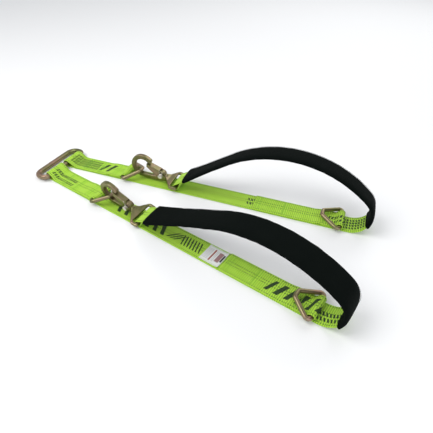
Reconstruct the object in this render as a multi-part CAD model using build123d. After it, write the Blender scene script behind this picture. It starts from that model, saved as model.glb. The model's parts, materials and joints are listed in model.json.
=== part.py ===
from build123d import *

import math
import os

# Two-legged webbing bridle: two straps share one steel ring, and each leg ends in a
# padded loop that returns to a snap hook clipped on the leg's own delta ring.
# All sizes are in mm. +X runs from the shared ring towards the far ends, +Y is the
# left leg's side, +Z is up, and the straps lie on the plane Z = 0.

# Webbing
WEB_WIDTH = 50.8
WEB_THICK = 2.6
LAYER_GAP = 0.1
FOLD_TAIL = 40.0
FOLD_SETTLE = 5.0
LAYER_STEP_ANGLE = 10.0
LAYER_STEP_BACK = 4.0

# Legs: distances along a leg are measured from the shared ring's bar
LEG_SPREAD = 7.6
EYE_GAP = 11.0
EYE_SQUARE_RUN = 45.0
EYE_SETTLE = 10.0
NEAR_BAR_AT = 165.0
HOOK_PAST_TIP = 99.0
FAR_BAR_AT = 717.0
FAR_BAR_SHORT = {"left": 24.0, "right": 0.0}
FAR_TAB_LENGTH = 197.0
CURL_PAST_BAR = {"left": 17.0, "right": 8.0}
CURL_RADIUS = {"left": 41.0, "right": 46.0}
CURL_TURN = {"left": 138.7, "right": 148.0}
ARCH_SHARE = {"left": 0.6277, "right": 0.6423}
ARCH_LEAN = {"left": 8.0, "right": 1.0}
LEAN_RISE = 60.0
ROLL_FALL = 70.0

# Shared ring
APEX_BAR = 13.0
APEX_SIDE_CLEAR = 3.4
APEX_DEPTH = 37.0
APEX_SIDE_SHIFT = 0.5
APEX_BAR_CORNER = 10.5
APEX_FAR_CORNER = 19.0
APEX_FIT = 1.0

# Delta rings: the bends are given by the radius left inside the bar
DELTA_BAR = 9.0
DELTA_SLIMNESS = 1.1053
DELTA_SIDE_ROOM = 1.8
DELTA_TIP_PINCH = 1.5
DELTA_BASE_INSIDE = 1.5
DELTA_TIP_INSIDE = 2.0
DELTA_FIT = 0.5
RING_IN_BOWL_FIT = 1.6
FAR_RING_TILT = 12.0

# Sleeves
SLEEVE_WALL = 1.3
SLEEVE_SIDE_ROOM = 3.3
SLEEVE_FIT = 0.3
SLEEVE_FROM_TURN = 60.0
SLEEVE_TO_HOOK = 28.0
SLEEVE_RUNS = 4

# Snap hook, in its own frame: X towards the bowl, Z towards the gate
HOOK_PITCH = 6.0
HOOK_ROLL = {"left": 0.0, "right": -8.0}
HOOK_SIDE = {"left": 2.0, "right": 2.5}
HOOK_THICK = 10.0
SLOT_LEVEL = 16.0
SLOT_BAR = 8.0
SLOT_RIM = 0.5
FRAME_THICK = 7.0
SLOT_SIDE_CLEAR = 1.6
SLOT_GAP = 10.0
SLOT_ARM = 6.5
SLOT_FIT = 1.2
SLOT_LIFT = 2.0
SLOT_CORNER = 2.5
FRAME_BAR_CORNER = 5.0
FRAME_ARM_CORNER = 6.0
FRAME_BEVEL = 1.2
SHOULDER_AT = 28.0
SHOULDER_HALF = 15.0
NECK_END = 36.0
NECK_HEIGHT = 17.0
SPINE_JOIN = (50.0, 20.0)
BOWL_AT = 97.0
BOWL_OUTER = 31.0
BOWL_INNER = 20.0
NOSE_ANGLE = 130.0
NOSE_RADIUS = 6.0
PIVOT_X = 46.0
PIVOT_Z = 24.0
BOSS_RADIUS = 9.5
PLATE_ROUND = 1.5

# Gate, its rivet and spring
GATE_SHEET = 1.8
GATE_CLEAR = 0.4
GATE_WEB = ((50.0, 34.8), (86.0, 44.2))
GATE_CHEEK = ((86.0, 35.0), (56.0, 14.0), (44.0, 16.0), (39.0, 26.0))
GATE_ROOM = ((30.0, 0.0), (30.0, 60.0), (51.2, 60.0), (51.2, 33.4), (90.0, 43.3), (90.0, 0.0))
RIVET_RADIUS = 3.0
RIVET_FIT = 0.1
RIVET_LOW_FIT = 0.2
RIVET_HEAD = 5.2
RIVET_SPRING_HEAD = 6.2
RIVET_HEAD_THICK = 1.8
SPRING_WIRE = 1.4
SPRING_RADIUS = 5.0
SPRING_TURNS = 3.5
SPRING_PITCH = 1.6
SPRING_LEG = 16.0

# Label and seams
LABEL_LENGTH = 46.0
LABEL_INSET = 3.4
LABEL_THICK = 0.4
LABEL_LIFT = 0.05
LABEL_TO_TAB = 4.0
SEAM_HEIGHT = 0.5
SEAM_WIDTH = 1.6
SEAM_INSET = 4.4
EYE_TACKS = (46.0, 52.0, 88.0, 94.0)
FOLD_TACKS = (6.0, 12.0)
TAB_TACKS = (8.0, 14.0, 70.0, 76.0)
TAB_FOLD_TACK = 4.0

SIDES = ("left", "right")
STEP_ANGLE = 12.0
ARCH_STEP = 5.0
LOOP_OPENING = 45.0
EYE_OPENING = 35.0
HOOK_OPENING = 35.0

# Heights that follow from the webbing lying in layers on the floor
HALF_WEB = WEB_THICK / 2
LAYER_1 = HALF_WEB
LAYER_2 = LAYER_1 + WEB_THICK + LAYER_GAP
LAYER_3 = LAYER_2 + WEB_THICK + LAYER_GAP
EYE_RADIUS = APEX_BAR / 2 + APEX_FIT + HALF_WEB
APEX_BAR_Z = LAYER_1 + EYE_RADIUS
DELTA_LOOP_RADIUS = DELTA_BAR / 2 + DELTA_FIT + HALF_WEB
DELTA_BAR_Z = LAYER_2 + DELTA_LOOP_RADIUS
SLOT_LOOP_RADIUS = SLOT_BAR / 2 + SLOT_FIT + HALF_WEB
SLOT_BAR_Z = LAYER_2 + SLOT_LOOP_RADIUS + SLOT_LIFT

# Places and widths that follow from the webbing, the bars and the hook
EYE_OFFSET = (WEB_WIDTH + EYE_GAP) / 2
FAR_BAR = {side: FAR_BAR_AT - FAR_BAR_SHORT[side] for side in SIDES}
FAR_TAB_START = {side: FAR_BAR[side] - FAR_TAB_LENGTH for side in SIDES}
CURL_AT = {side: FAR_BAR[side] + CURL_PAST_BAR[side] for side in SIDES}
APEX_INNER_HALF = EYE_OFFSET + WEB_WIDTH / 2 + APEX_SIDE_CLEAR
DELTA_BASE_HALF = WEB_WIDTH / 2 + DELTA_BAR / 2 + DELTA_LOOP_RADIUS + DELTA_SIDE_ROOM
DELTA_HEIGHT = DELTA_SLIMNESS * DELTA_BASE_HALF
DELTA_TIP_HALF = HOOK_THICK / 2 + DELTA_BAR / 2 - DELTA_TIP_PINCH
DELTA_BASE_CORNER = DELTA_BAR / 2 + DELTA_BASE_INSIDE
DELTA_TIP_CORNER = DELTA_BAR / 2 + DELTA_TIP_INSIDE
HOOK_REACH = DELTA_HEIGHT + HOOK_PAST_TIP
HOOK_AT = NEAR_BAR_AT + HOOK_REACH
ARCH_RADIUS = {side: ARCH_SHARE[side] * (FAR_BAR_AT - HOOK_AT) for side in SIDES}
SLEEVE_ROOM = 3 * WEB_THICK + 2 * (LAYER_GAP + SLEEVE_FIT)
SLEEVE_WIDTH = WEB_WIDTH + 2 * (SLEEVE_SIDE_ROOM + SLEEVE_WALL)
LABEL_WIDTH = WEB_WIDTH - 2 * LABEL_INSET
SEAM_LENGTH = WEB_WIDTH - 2 * SEAM_INSET


class SidePath:
    """A strap's middle line seen from the side: distance along the leg, height, heading."""

    def __init__(self, along, height, heading):
        self.points = [(along, height, heading)]

    def run(self, length):
        along, height, heading = self.points[-1]
        turn = math.radians(heading)
        self.points.append((along + length * math.cos(turn), height + length * math.sin(turn), heading))

    def run_to(self, along):
        start, _, heading = self.points[-1]
        self.run((along - start) / math.cos(math.radians(heading)))

    def bend(self, angle, radius, step=STEP_ANGLE):
        along, height, heading = self.points[-1]
        side = math.copysign(1.0, angle)
        turn = math.radians(heading)
        centre_x = along - side * radius * math.sin(turn)
        centre_z = height + side * radius * math.cos(turn)
        count = max(1, math.ceil(abs(angle) / step))
        for index in range(1, count + 1):
            now = heading + angle * index / count
            turn = math.radians(now)
            x = centre_x + side * radius * math.sin(turn)
            z = centre_z - side * radius * math.cos(turn)
            self.points.append((x, z, now))

    def shift_level(self, change, angle, radius):
        """Move up or down by a small amount with two equal and opposite bends."""
        level = radius * (1 - math.cos(math.radians(angle)))
        heading = self.points[-1][2]
        forward = math.cos(math.radians(heading))
        turn = math.copysign(angle, change * forward)
        self.bend(turn, radius)
        self.run((abs(change) - 2 * level) / math.sin(math.radians(angle)))
        self.bend(-turn, radius)


def settle_down(path, drop, opening, radius):
    """Come off a loop at the opening angle and lie level again after the given drop."""
    turn = math.radians(opening)
    path.run((drop - radius * (1 - math.cos(turn))) / math.sin(turn))
    path.bend(-opening, radius)


def folded_loop(path, bar_at):
    """Go round a delta ring's bar from below and settle on the third layer."""
    path.run_to(bar_at)
    path.bend(180 + LOOP_OPENING, DELTA_LOOP_RADIUS)
    top = DELTA_BAR_Z + DELTA_LOOP_RADIUS * math.cos(math.radians(LOOP_OPENING))
    settle_down(path, top - LAYER_3, LOOP_OPENING, FOLD_SETTLE)
    path.run_to(bar_at - FOLD_TAIL - LAYER_STEP_BACK)
    path.shift_level(LAYER_2 - LAYER_3, LAYER_STEP_ANGLE, FOLD_SETTLE)


def last_run(side):
    """Heading and length of the straight run from the arch down to the slot bar."""
    turn = math.radians(CURL_TURN[side])
    curl, arch = CURL_RADIUS[side], ARCH_RADIUS[side]
    centre_x = CURL_AT[side] + (curl - arch) * math.sin(turn)
    centre_z = LAYER_1 + curl - (curl - arch) * math.cos(turn)
    reach_x = HOOK_AT - centre_x
    reach_z = SLOT_BAR_Z - centre_z
    inset = SLOT_LOOP_RADIUS - arch
    length = math.sqrt(reach_x ** 2 + reach_z ** 2 - inset ** 2)
    heading = math.degrees(math.atan2(reach_z, reach_x) - math.atan2(inset, length))
    return heading % 360, length


def floor_path(side):
    """From the fold at the near ring, round the shared ring, to the start of the curl."""
    path = SidePath(NEAR_BAR_AT - FOLD_TAIL, LAYER_2, 0)
    folded_loop(path, NEAR_BAR_AT)
    turn = math.radians(EYE_OPENING)
    rise = EYE_RADIUS * (1 + math.cos(turn)) + LAYER_1 - LAYER_2
    slope = (rise - EYE_SETTLE * (1 - math.cos(turn))) / math.sin(turn)
    ramp = EYE_SETTLE * math.sin(turn) + slope * math.cos(turn)
    path.run_to(EYE_SQUARE_RUN)
    path.run_to(ramp + EYE_RADIUS * math.sin(turn))
    path.bend(-EYE_OPENING, EYE_SETTLE)
    path.run(slope)
    path.bend(180 + EYE_OPENING, EYE_RADIUS)
    path.run_to(EYE_SQUARE_RUN)
    path.run_to(CURL_AT[side])
    return path


def arch_points(side):
    """The curl at the far end, the arch and the straight run down to the hook."""
    path = SidePath(CURL_AT[side], LAYER_1, 0)
    heading, length = last_run(side)
    path.bend(SLEEVE_FROM_TURN, CURL_RADIUS[side])
    sleeve_start = len(path.points) - 1
    path.bend(CURL_TURN[side] - SLEEVE_FROM_TURN, CURL_RADIUS[side])
    path.bend(heading - CURL_TURN[side], ARCH_RADIUS[side], ARCH_STEP)
    for index in range(SLEEVE_RUNS):
        path.run((length - SLEEVE_TO_HOOK) / SLEEVE_RUNS)
    sleeve_stop = len(path.points)
    path.run(SLEEVE_TO_HOOK)
    return path.points, sleeve_start, sleeve_stop


def main_path(side):
    """The whole strap of one leg, from its folded start to its sewn end at the hook."""
    path = floor_path(side)
    path.points += arch_points(side)[0][1:]
    path.bend(180 + HOOK_OPENING, SLOT_LOOP_RADIUS)
    drop = SLOT_LOOP_RADIUS * (1 + math.cos(math.radians(HOOK_OPENING))) - WEB_THICK - LAYER_GAP
    settle_down(path, drop, HOOK_OPENING, FOLD_SETTLE)
    path.run(FOLD_TAIL * 3 / 4)
    return path


def smooth(value):
    value = min(1.0, max(0.0, value))
    return value * value * (3 - 2 * value)


def leg_axes(side):
    """Start point, direction along the leg and direction across it."""
    sign = 1 if side == "left" else -1
    spread = math.radians(sign * LEG_SPREAD)
    start = Vector(0, sign * EYE_OFFSET, 0)
    forward = Vector(math.cos(spread), math.sin(spread), 0)
    return start, forward, Vector(0, 0, 1).cross(forward)


def lean_at(side, along, height, on_arch):
    """Sideways lean of the strap and its sideways shift, which grow up the arch."""
    if not on_arch:
        return 0.0, 0.0
    middle = (HOOK_AT + CURL_AT[side]) / 2
    if along > middle:
        return ARCH_LEAN[side] * smooth(height / LEAN_RISE), 0.0
    near = 1 - smooth((height - SLOT_BAR_Z) / ROLL_FALL)
    return ARCH_LEAN[side] + (HOOK_ROLL[side] - ARCH_LEAN[side]) * near, HOOK_SIDE[side] * near


def place(side, along, height, on_arch=False):
    """A point of the leg in the part's frame, with the across and up directions there."""
    start, forward, across = leg_axes(side)
    lean, shift = lean_at(side, along, height, on_arch)
    if not on_arch and along < EYE_SQUARE_RUN:
        square = smooth(along / EYE_SQUARE_RUN)
        across = (Vector(0, 1, 0) * (1 - square) + across * square).normalized()
    angle = math.radians(lean)
    up = Vector(0, 0, 1) * math.cos(angle) + across * math.sin(angle)
    level = across * math.cos(angle) - Vector(0, 0, 1) * math.sin(angle)
    return start + forward * along + up * height + across * shift, level, up


def section(side, point, width, thick, on_arch):
    """Closed rectangle across the strap at one point of its side path."""
    along, height, heading = point
    centre, level, up = place(side, along, height, on_arch)
    _, forward, _ = leg_axes(side)
    turn = math.radians(heading)
    normal = up * math.cos(turn) - forward * math.sin(turn)
    corners = []
    for across, out in ((-1, -1), (1, -1), (1, 1), (-1, 1)):
        corners.append(centre + level * (across * width / 2) + normal * (out * thick / 2))
    return Wire.make_polygon(corners, close=True)


def ribbon(side, points, width, thick, arch_from=None):
    """Solid strap through the given points; those from arch_from on are on the arch."""
    sections = []
    for index, point in enumerate(points):
        on_arch = arch_from is not None and index >= arch_from
        sections.append(section(side, point, width, thick, on_arch))
    return Solid.make_loft(sections, ruled=True)


def main_strap(side):
    return ribbon(side, main_path(side).points, WEB_WIDTH, WEB_THICK, len(floor_path(side).points))


def far_tab(side):
    path = SidePath(FAR_BAR[side] - FOLD_TAIL, LAYER_2, 0)
    folded_loop(path, FAR_BAR[side])
    path.run_to(FAR_TAB_START[side])
    return ribbon(side, path.points, WEB_WIDTH, WEB_THICK)


def sleeve(side):
    """Flat tube round the curl and the arch, open at both ends."""
    path, start, stop = arch_points(side)
    points = path[start:stop]
    outer = ribbon(side, points, SLEEVE_WIDTH, SLEEVE_ROOM + 2 * SLEEVE_WALL, 0)
    ahead, behind = list(points[0]), list(points[-1])
    for end, sign in ((ahead, -1), (behind, 1)):
        end[0] += sign * SLEEVE_WALL * math.cos(math.radians(end[2]))
        end[1] += sign * SLEEVE_WALL * math.sin(math.radians(end[2]))
    inner_points = [tuple(ahead)] + points[1:-1] + [tuple(behind)]
    return outer - ribbon(side, inner_points, SLEEVE_WIDTH - 2 * SLEEVE_WALL, SLEEVE_ROOM, 0)


def bar_ring(corners, radii, bar):
    """Closed ring of round bar along a polygon with rounded corners."""
    outline = Polygon(*corners, align=None)
    vertices = [outline.vertices().sort_by_distance(Vector(*corner))[0] for corner in corners]
    for vertex, radius in zip(vertices, radii):
        nearest = outline.vertices().sort_by_distance(vertex)[0]
        outline = fillet(nearest, radius)
    path = outline.face().outer_wire()
    start = path.position_at(0)
    profile = Plane(origin=start, z_dir=path.tangent_at(0)) * Circle(bar / 2)
    return Solid.sweep(profile.face(), path=path)


def apex_ring():
    half = APEX_INNER_HALF + APEX_BAR / 2
    low, high = APEX_SIDE_SHIFT - half, APEX_SIDE_SHIFT + half
    corners = ((0, low), (0, high), (-APEX_DEPTH, high), (-APEX_DEPTH, low))
    radii = (APEX_BAR_CORNER, APEX_BAR_CORNER, APEX_FAR_CORNER, APEX_FAR_CORNER)
    ring = bar_ring(corners, radii, APEX_BAR)
    tilt = math.degrees(math.asin((APEX_BAR_Z - APEX_BAR / 2) / APEX_DEPTH))
    return ring.rotate(Axis.Y, -tilt).moved(Location((0, 0, APEX_BAR_Z)))


def delta_ring(side, bar_at, direction, tilt):
    """Delta ring with its base bar in a webbing loop, pointing along or against the leg."""
    corners = (
        (0, -DELTA_BASE_HALF),
        (DELTA_HEIGHT, -DELTA_TIP_HALF),
        (DELTA_HEIGHT, DELTA_TIP_HALF),
        (0, DELTA_BASE_HALF),
    )
    radii = (DELTA_BASE_CORNER, DELTA_TIP_CORNER, DELTA_TIP_CORNER, DELTA_BASE_CORNER)
    ring = bar_ring(corners, radii, DELTA_BAR)
    centre, level, up = place(side, bar_at, DELTA_BAR_Z)
    _, forward, _ = leg_axes(side)
    angle = math.radians(tilt)
    point_dir = forward * (direction * math.cos(angle)) + up * math.sin(angle)
    normal = up * math.cos(angle) - forward * (direction * math.sin(angle))
    return ring.moved(Location(Plane(origin=centre, x_dir=point_dir, z_dir=normal)))


def near_ring_tilt():
    """Tilt that lays the near ring's tip against the inside of the hook's bowl."""
    pitch = math.radians(HOOK_PITCH)
    bowl_up = BOWL_OUTER - SLOT_LEVEL
    reach_x = HOOK_REACH - BOWL_AT * math.cos(pitch) + bowl_up * math.sin(pitch)
    reach_z = SLOT_BAR_Z + BOWL_AT * math.sin(pitch) + bowl_up * math.cos(pitch) - DELTA_BAR_Z
    reach = math.hypot(reach_x, reach_z)
    inside = BOWL_INNER - DELTA_BAR / 2 - RING_IN_BOWL_FIT
    between = math.acos((DELTA_HEIGHT ** 2 + reach ** 2 - inside ** 2) / (2 * DELTA_HEIGHT * reach))
    return math.degrees(math.atan2(reach_z, reach_x) - between)


def hook_plane(side):
    """Frame of the hook: origin on the slot bar, X towards the bowl, Z towards the gate."""
    _, forward, across = leg_axes(side)
    roll = math.radians(HOOK_ROLL[side])
    pitch = math.radians(HOOK_PITCH)
    centre, level, up = place(side, HOOK_AT, SLOT_BAR_Z, True)
    x_dir = up * math.sin(pitch) - forward * math.cos(pitch)
    z_dir = up * math.cos(pitch) + forward * math.sin(pitch)
    return Plane(origin=centre, x_dir=x_dir, z_dir=z_dir)


def put_on_hook(side, shape):
    return shape.moved(Location((0, 0, -SLOT_LEVEL))).moved(Location(hook_plane(side)))


def bowl_point(radius, angle):
    turn = math.radians(angle)
    return BOWL_AT + radius * math.cos(turn), BOWL_OUTER + radius * math.sin(turn)


def hook_plate():
    """Bowl, nose and spine of the hook as one flat forging with rounded edges."""
    spine = BOWL_OUTER - BOWL_INNER
    root = SHOULDER_AT + 4
    neck_top = SLOT_LEVEL + NECK_HEIGHT / 2
    neck_low = SLOT_LEVEL - NECK_HEIGHT / 2 + 1
    nose_outer = bowl_point(BOWL_OUTER, NOSE_ANGLE)
    nose_inner = bowl_point(BOWL_INNER, NOSE_ANGLE)
    with BuildSketch(Plane.XZ) as plate:
        with BuildLine():
            ThreePointArc((BOWL_AT, 0), bowl_point(BOWL_OUTER, 20), nose_outer)
            Line(nose_outer, nose_inner)
            ThreePointArc(nose_inner, bowl_point(BOWL_INNER, 0), (BOWL_AT, spine))
            ThreePointArc((BOWL_AT, spine), (72, spine + 1.5), SPINE_JOIN)
            Line(SPINE_JOIN, (root, neck_top))
            Line((root, neck_top), (root, neck_low))
            ThreePointArc((root, neck_low), (66, 1.6), (BOWL_AT, 0))
        make_face()
        with Locations((PIVOT_X, PIVOT_Z)):
            Circle(BOSS_RADIUS)
        with Locations(bowl_point((BOWL_OUTER + BOWL_INNER) / 2, NOSE_ANGLE)):
            Circle(NOSE_RADIUS)
    return extrude(plate.sketch, HOOK_THICK / 2, both=True)


def slot_frame():
    """Flat frame of the hook with a round bar and the slot that the webbing goes through."""
    slot_half = WEB_WIDTH / 2 + SLOT_SIDE_CLEAR
    outer_half = slot_half + SLOT_ARM
    bar = SLOT_BAR / 2
    back = -bar - SLOT_RIM
    with BuildSketch(Plane.XY.offset(SLOT_LEVEL)) as outline:
        Polygon(
            (back, -outer_half), (bar + SLOT_GAP, -outer_half), (SHOULDER_AT, -SHOULDER_HALF),
            (SHOULDER_AT, SHOULDER_HALF), (bar + SLOT_GAP, outer_half), (back, outer_half),
            align=None,
        )
        fillet(outline.vertices().group_by(Axis.X)[0], FRAME_BAR_CORNER)
        fillet(outline.vertices().group_by(Axis.X)[-2], FRAME_ARM_CORNER)
        with Locations((bar + SLOT_GAP / 2, 0)):
            RectangleRounded(SLOT_GAP, 2 * slot_half, SLOT_CORNER, mode=Mode.SUBTRACT)
    frame = extrude(outline.sketch, FRAME_THICK / 2, both=True)
    rims = frame.edges().group_by(Axis.Z)[0] + frame.edges().group_by(Axis.Z)[-1]
    frame = chamfer(rims, FRAME_BEVEL)
    middle = Location((0, 0, SLOT_LEVEL))
    frame = frame - Box(2 * SLOT_BAR, 2 * slot_half, 2 * FRAME_THICK).moved(middle)
    return frame + Cylinder(bar, 2 * slot_half + SLOT_ARM, rotation=(90, 0, 0)).moved(middle)


def neck():
    """Twist of the forging from the flat frame to the upright plate."""
    start = SHOULDER_AT - 2
    flat = Plane(origin=(start, 0, SLOT_LEVEL), x_dir=(0, 1, 0), z_dir=(1, 0, 0))
    upright = Plane(origin=(NECK_END, 0, SLOT_LEVEL), x_dir=(0, 1, 0), z_dir=(1, 0, 0))
    first = flat * Rectangle(2 * SHOULDER_HALF, FRAME_THICK - 1)
    last = upright * Rectangle(HOOK_THICK, NECK_HEIGHT)
    return loft([first, last])


def hook_body(side):
    plate = hook_plate()
    rims = plate.edges().filter_by(lambda edge: abs(edge.center().Y) > HOOK_THICK / 2 - 0.01)
    body = fillet(rims, PLATE_ROUND) + slot_frame() + neck()
    bore = Cylinder(RIVET_RADIUS + RIVET_FIT, 4 * HOOK_THICK, rotation=(90, 0, 0))
    return put_on_hook(side, body - bore.moved(Location((PIVOT_X, 0, PIVOT_Z))))


def gate(side):
    """Channel of sheet steel whose cheeks straddle the spine and whose web meets the nose."""
    inner = HOOK_THICK / 2 + GATE_CLEAR
    outer = inner + GATE_SHEET
    with BuildSketch(Plane.XZ) as outline:
        Polygon(*GATE_WEB, *GATE_CHEEK, align=None)
        with Locations((PIVOT_X, PIVOT_Z)):
            Circle(BOSS_RADIUS - 1)
    solid = extrude(outline.sketch, outer, both=True)
    with BuildSketch(Plane.XZ) as room:
        Polygon(*GATE_ROOM, align=None)
    solid = solid - extrude(room.sketch, inner, both=True)
    bore = Cylinder(RIVET_RADIUS + RIVET_FIT, 4 * HOOK_THICK, rotation=(90, 0, 0))
    solid = solid - bore.moved(Location((PIVOT_X, 0, PIVOT_Z)))
    return put_on_hook(side, solid)


def gate_side():
    """Distance of the gate's outer face from the hook's middle plane."""
    return HOOK_THICK / 2 + GATE_CLEAR + GATE_SHEET


def spring_height():
    return SPRING_TURNS * SPRING_PITCH + SPRING_WIRE


def rivet_solid(low, high, radius):
    body = Cylinder(radius, high - low, rotation=(90, 0, 0))
    return body.moved(Location((PIVOT_X, (low + high) / 2, PIVOT_Z)))


def gate_rivet(side):
    """Rivet through the gate and the hook; the spring sits under its longer end."""
    low = -gate_side() - RIVET_LOW_FIT
    high = gate_side() + 2 * GATE_CLEAR + spring_height()
    solid = rivet_solid(low - RIVET_HEAD_THICK, high + RIVET_HEAD_THICK, RIVET_RADIUS)
    solid = solid + rivet_solid(low - RIVET_HEAD_THICK, low, RIVET_HEAD)
    solid = solid + rivet_solid(high, high + RIVET_HEAD_THICK, RIVET_SPRING_HEAD)
    return put_on_hook(side, solid)


def gate_spring(side):
    """Torsion spring round the rivet, with one leg on the gate and one on the spine."""
    first = gate_side() + GATE_CLEAR + SPRING_WIRE / 2
    helix = Helix(SPRING_PITCH, SPRING_TURNS * SPRING_PITCH, SPRING_RADIUS)
    profile = Plane(origin=helix @ 0, z_dir=helix % 0) * Circle(SPRING_WIRE / 2)
    coil = Solid.sweep(profile.face(), path=helix)
    coil = coil.rotate(Axis.X, -90)
    coil = coil.moved(Location((PIVOT_X, first, PIVOT_Z)))
    solids = coil
    for turn in (0, SPRING_TURNS):
        angle = math.radians(360 * turn)
        foot = Vector(PIVOT_X + SPRING_RADIUS * math.cos(angle), first + turn * SPRING_PITCH,
                      PIVOT_Z - SPRING_RADIUS * math.sin(angle))
        aim = Vector(math.sin(angle), 0, math.cos(angle)) * (1 if turn == 0 else -1)
        leg = Plane(origin=foot, z_dir=aim) * Cylinder(
            SPRING_WIRE / 2, SPRING_LEG, align=(Align.CENTER, Align.CENTER, Align.MIN))
        solids = solids + leg
    return put_on_hook(side, solids)


def flat_piece(side, from_along, length, width, thick, bottom):
    centre, level, up = place(side, from_along + length / 2, bottom + thick / 2)
    _, forward, _ = leg_axes(side)
    return Box(length, width, thick).moved(Location(Plane(origin=centre, x_dir=forward, z_dir=up)))


def label(side):
    start = FAR_TAB_START[side] - LABEL_TO_TAB - LABEL_LENGTH
    return flat_piece(side, start, LABEL_LENGTH, LABEL_WIDTH, LABEL_THICK, WEB_THICK + LABEL_LIFT)


def seams(side):
    """Bar tacks that hold the folded eye, the near loop and the far tab."""
    tacks = []
    on_two = LAYER_2 + HALF_WEB
    on_three = LAYER_3 + HALF_WEB
    rows = [(at, on_two) for at in EYE_TACKS]
    rows += [(NEAR_BAR_AT - FOLD_TAIL + at, on_three) for at in FOLD_TACKS]
    rows += [(FAR_TAB_START[side] + at, on_two) for at in TAB_TACKS]
    rows += [(FAR_BAR[side] - FOLD_TAIL + TAB_FOLD_TACK, on_three)]
    for along, surface in rows:
        tacks.append(flat_piece(side, along, SEAM_WIDTH, SEAM_LENGTH, SEAM_HEIGHT, surface))
    return Compound(children=tacks)


def build_nodes():
    """Every sub-part in its place, before the origin is moved under the middle."""
    nodes = {"apex_ring": apex_ring()}
    for side in SIDES:
        nodes[f"{side}_main_strap"] = main_strap(side)
        nodes[f"{side}_far_tab"] = far_tab(side)
        nodes[f"{side}_sleeve"] = sleeve(side)
        nodes[f"{side}_seams"] = seams(side)
        nodes[f"{side}_near_ring"] = delta_ring(side, NEAR_BAR_AT, 1, near_ring_tilt())
        nodes[f"{side}_far_ring"] = delta_ring(side, FAR_BAR[side], -1, FAR_RING_TILT)
        nodes[f"{side}_hook_body"] = hook_body(side)
        nodes[f"{side}_hook_gate"] = gate(side)
        nodes[f"{side}_gate_rivet"] = gate_rivet(side)
        nodes[f"{side}_gate_spring"] = gate_spring(side)
    nodes["right_label"] = label("right")
    return nodes


def origin_shift(nodes):
    """Vector that puts the middle of the bottom of the whole box at the origin."""
    boxes = [node.bounding_box() for node in nodes.values()]
    low = Vector(*(min(getattr(box.min, axis) for box in boxes) for axis in "XYZ"))
    high = Vector(*(max(getattr(box.max, axis) for box in boxes) for axis in "XYZ"))
    return Vector(-(low.X + high.X) / 2, -(low.Y + high.Y) / 2, -low.Z)


def main():
    os.makedirs("parts", exist_ok=True)
    nodes = build_nodes()
    shift = origin_shift(nodes)
    for name, node in nodes.items():
        export_step(node.moved(Location(shift)), f"parts/{name}.step")
    print("origin shift", tuple(round(value, 4) for value in tuple(shift)))


if __name__ == "__main__":
    main()
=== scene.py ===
# %% [markdown]
# # A webbing bridle with padded loops
# Two lime-green straps share one steel ring. Each leg lies flat, curls up at its far end and comes
# back inside a black sleeve to a snap hook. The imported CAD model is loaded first, as a fixed frame:
# every piece below is placed from its boxes and joints, in metres.

# %% Load the frame
import json
import math
import bpy
import bmesh
from mathutils import Matrix, Vector, noise


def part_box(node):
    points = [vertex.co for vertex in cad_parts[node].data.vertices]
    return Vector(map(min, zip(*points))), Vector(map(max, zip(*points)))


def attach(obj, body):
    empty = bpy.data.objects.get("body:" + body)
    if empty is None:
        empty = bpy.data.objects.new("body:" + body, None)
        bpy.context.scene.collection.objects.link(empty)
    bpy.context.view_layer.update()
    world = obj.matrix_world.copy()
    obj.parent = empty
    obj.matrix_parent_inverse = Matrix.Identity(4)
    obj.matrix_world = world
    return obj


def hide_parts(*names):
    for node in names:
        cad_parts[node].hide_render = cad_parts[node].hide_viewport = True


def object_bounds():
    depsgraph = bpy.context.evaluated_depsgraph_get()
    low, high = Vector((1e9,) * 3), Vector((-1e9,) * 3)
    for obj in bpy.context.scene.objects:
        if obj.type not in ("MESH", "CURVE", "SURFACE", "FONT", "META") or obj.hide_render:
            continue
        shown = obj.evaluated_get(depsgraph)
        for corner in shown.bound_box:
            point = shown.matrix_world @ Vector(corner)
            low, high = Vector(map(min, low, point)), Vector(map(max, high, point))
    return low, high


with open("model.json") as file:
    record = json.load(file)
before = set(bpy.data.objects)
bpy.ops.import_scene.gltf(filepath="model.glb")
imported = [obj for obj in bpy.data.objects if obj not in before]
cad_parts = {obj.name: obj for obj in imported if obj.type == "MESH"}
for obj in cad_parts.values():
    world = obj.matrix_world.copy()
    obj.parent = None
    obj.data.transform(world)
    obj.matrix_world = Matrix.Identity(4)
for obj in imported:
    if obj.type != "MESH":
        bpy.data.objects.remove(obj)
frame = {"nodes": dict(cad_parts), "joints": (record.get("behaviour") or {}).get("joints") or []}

cad_low, cad_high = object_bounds()
scene = bpy.context.scene
UP = Vector((0, 0, 1))
SIDES = ("left", "right")
print("CAD box", [round(v, 4) for v in cad_high - cad_low])

# %% [markdown]
# ## Camera, floor and light
# The camera looks down on the middle of the bridle from the front right, at a normal lens. The floor
# is a large pale plane. Three big area lights and a bright, even world give soft studio light: large
# sources are what make webbing look woven and plated steel look satin, because both need wide
# highlights.

# %% Camera
AIM = Vector((0.0707, 0.0114, 0.0))
AZIMUTH = math.radians(27.85)
ELEVATION = math.radians(41.66)
DISTANCE = 0.8996
LENS = 33.26

back = Vector((math.sin(AZIMUTH) * math.cos(ELEVATION), -math.cos(AZIMUTH) * math.cos(ELEVATION),
               math.sin(ELEVATION)))
camera = bpy.data.objects.new("camera", bpy.data.cameras.new("camera"))
camera.data.lens = LENS
camera.data.clip_start = 0.01
camera.location = AIM + back * DISTANCE
camera.rotation_euler = back.to_track_quat("Z", "Y").to_euler()
scene.collection.objects.link(camera)
scene.camera = camera

print("camera", round(DISTANCE, 3), "m away, lens", LENS, "mm")

# %% Floor, world and lights
def link_mesh(name, mesh):
    piece = bpy.data.objects.new(name, mesh)
    scene.collection.objects.link(piece)
    return piece


def shader(material):
    return material.node_tree.nodes["Principled BSDF"]


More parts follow.
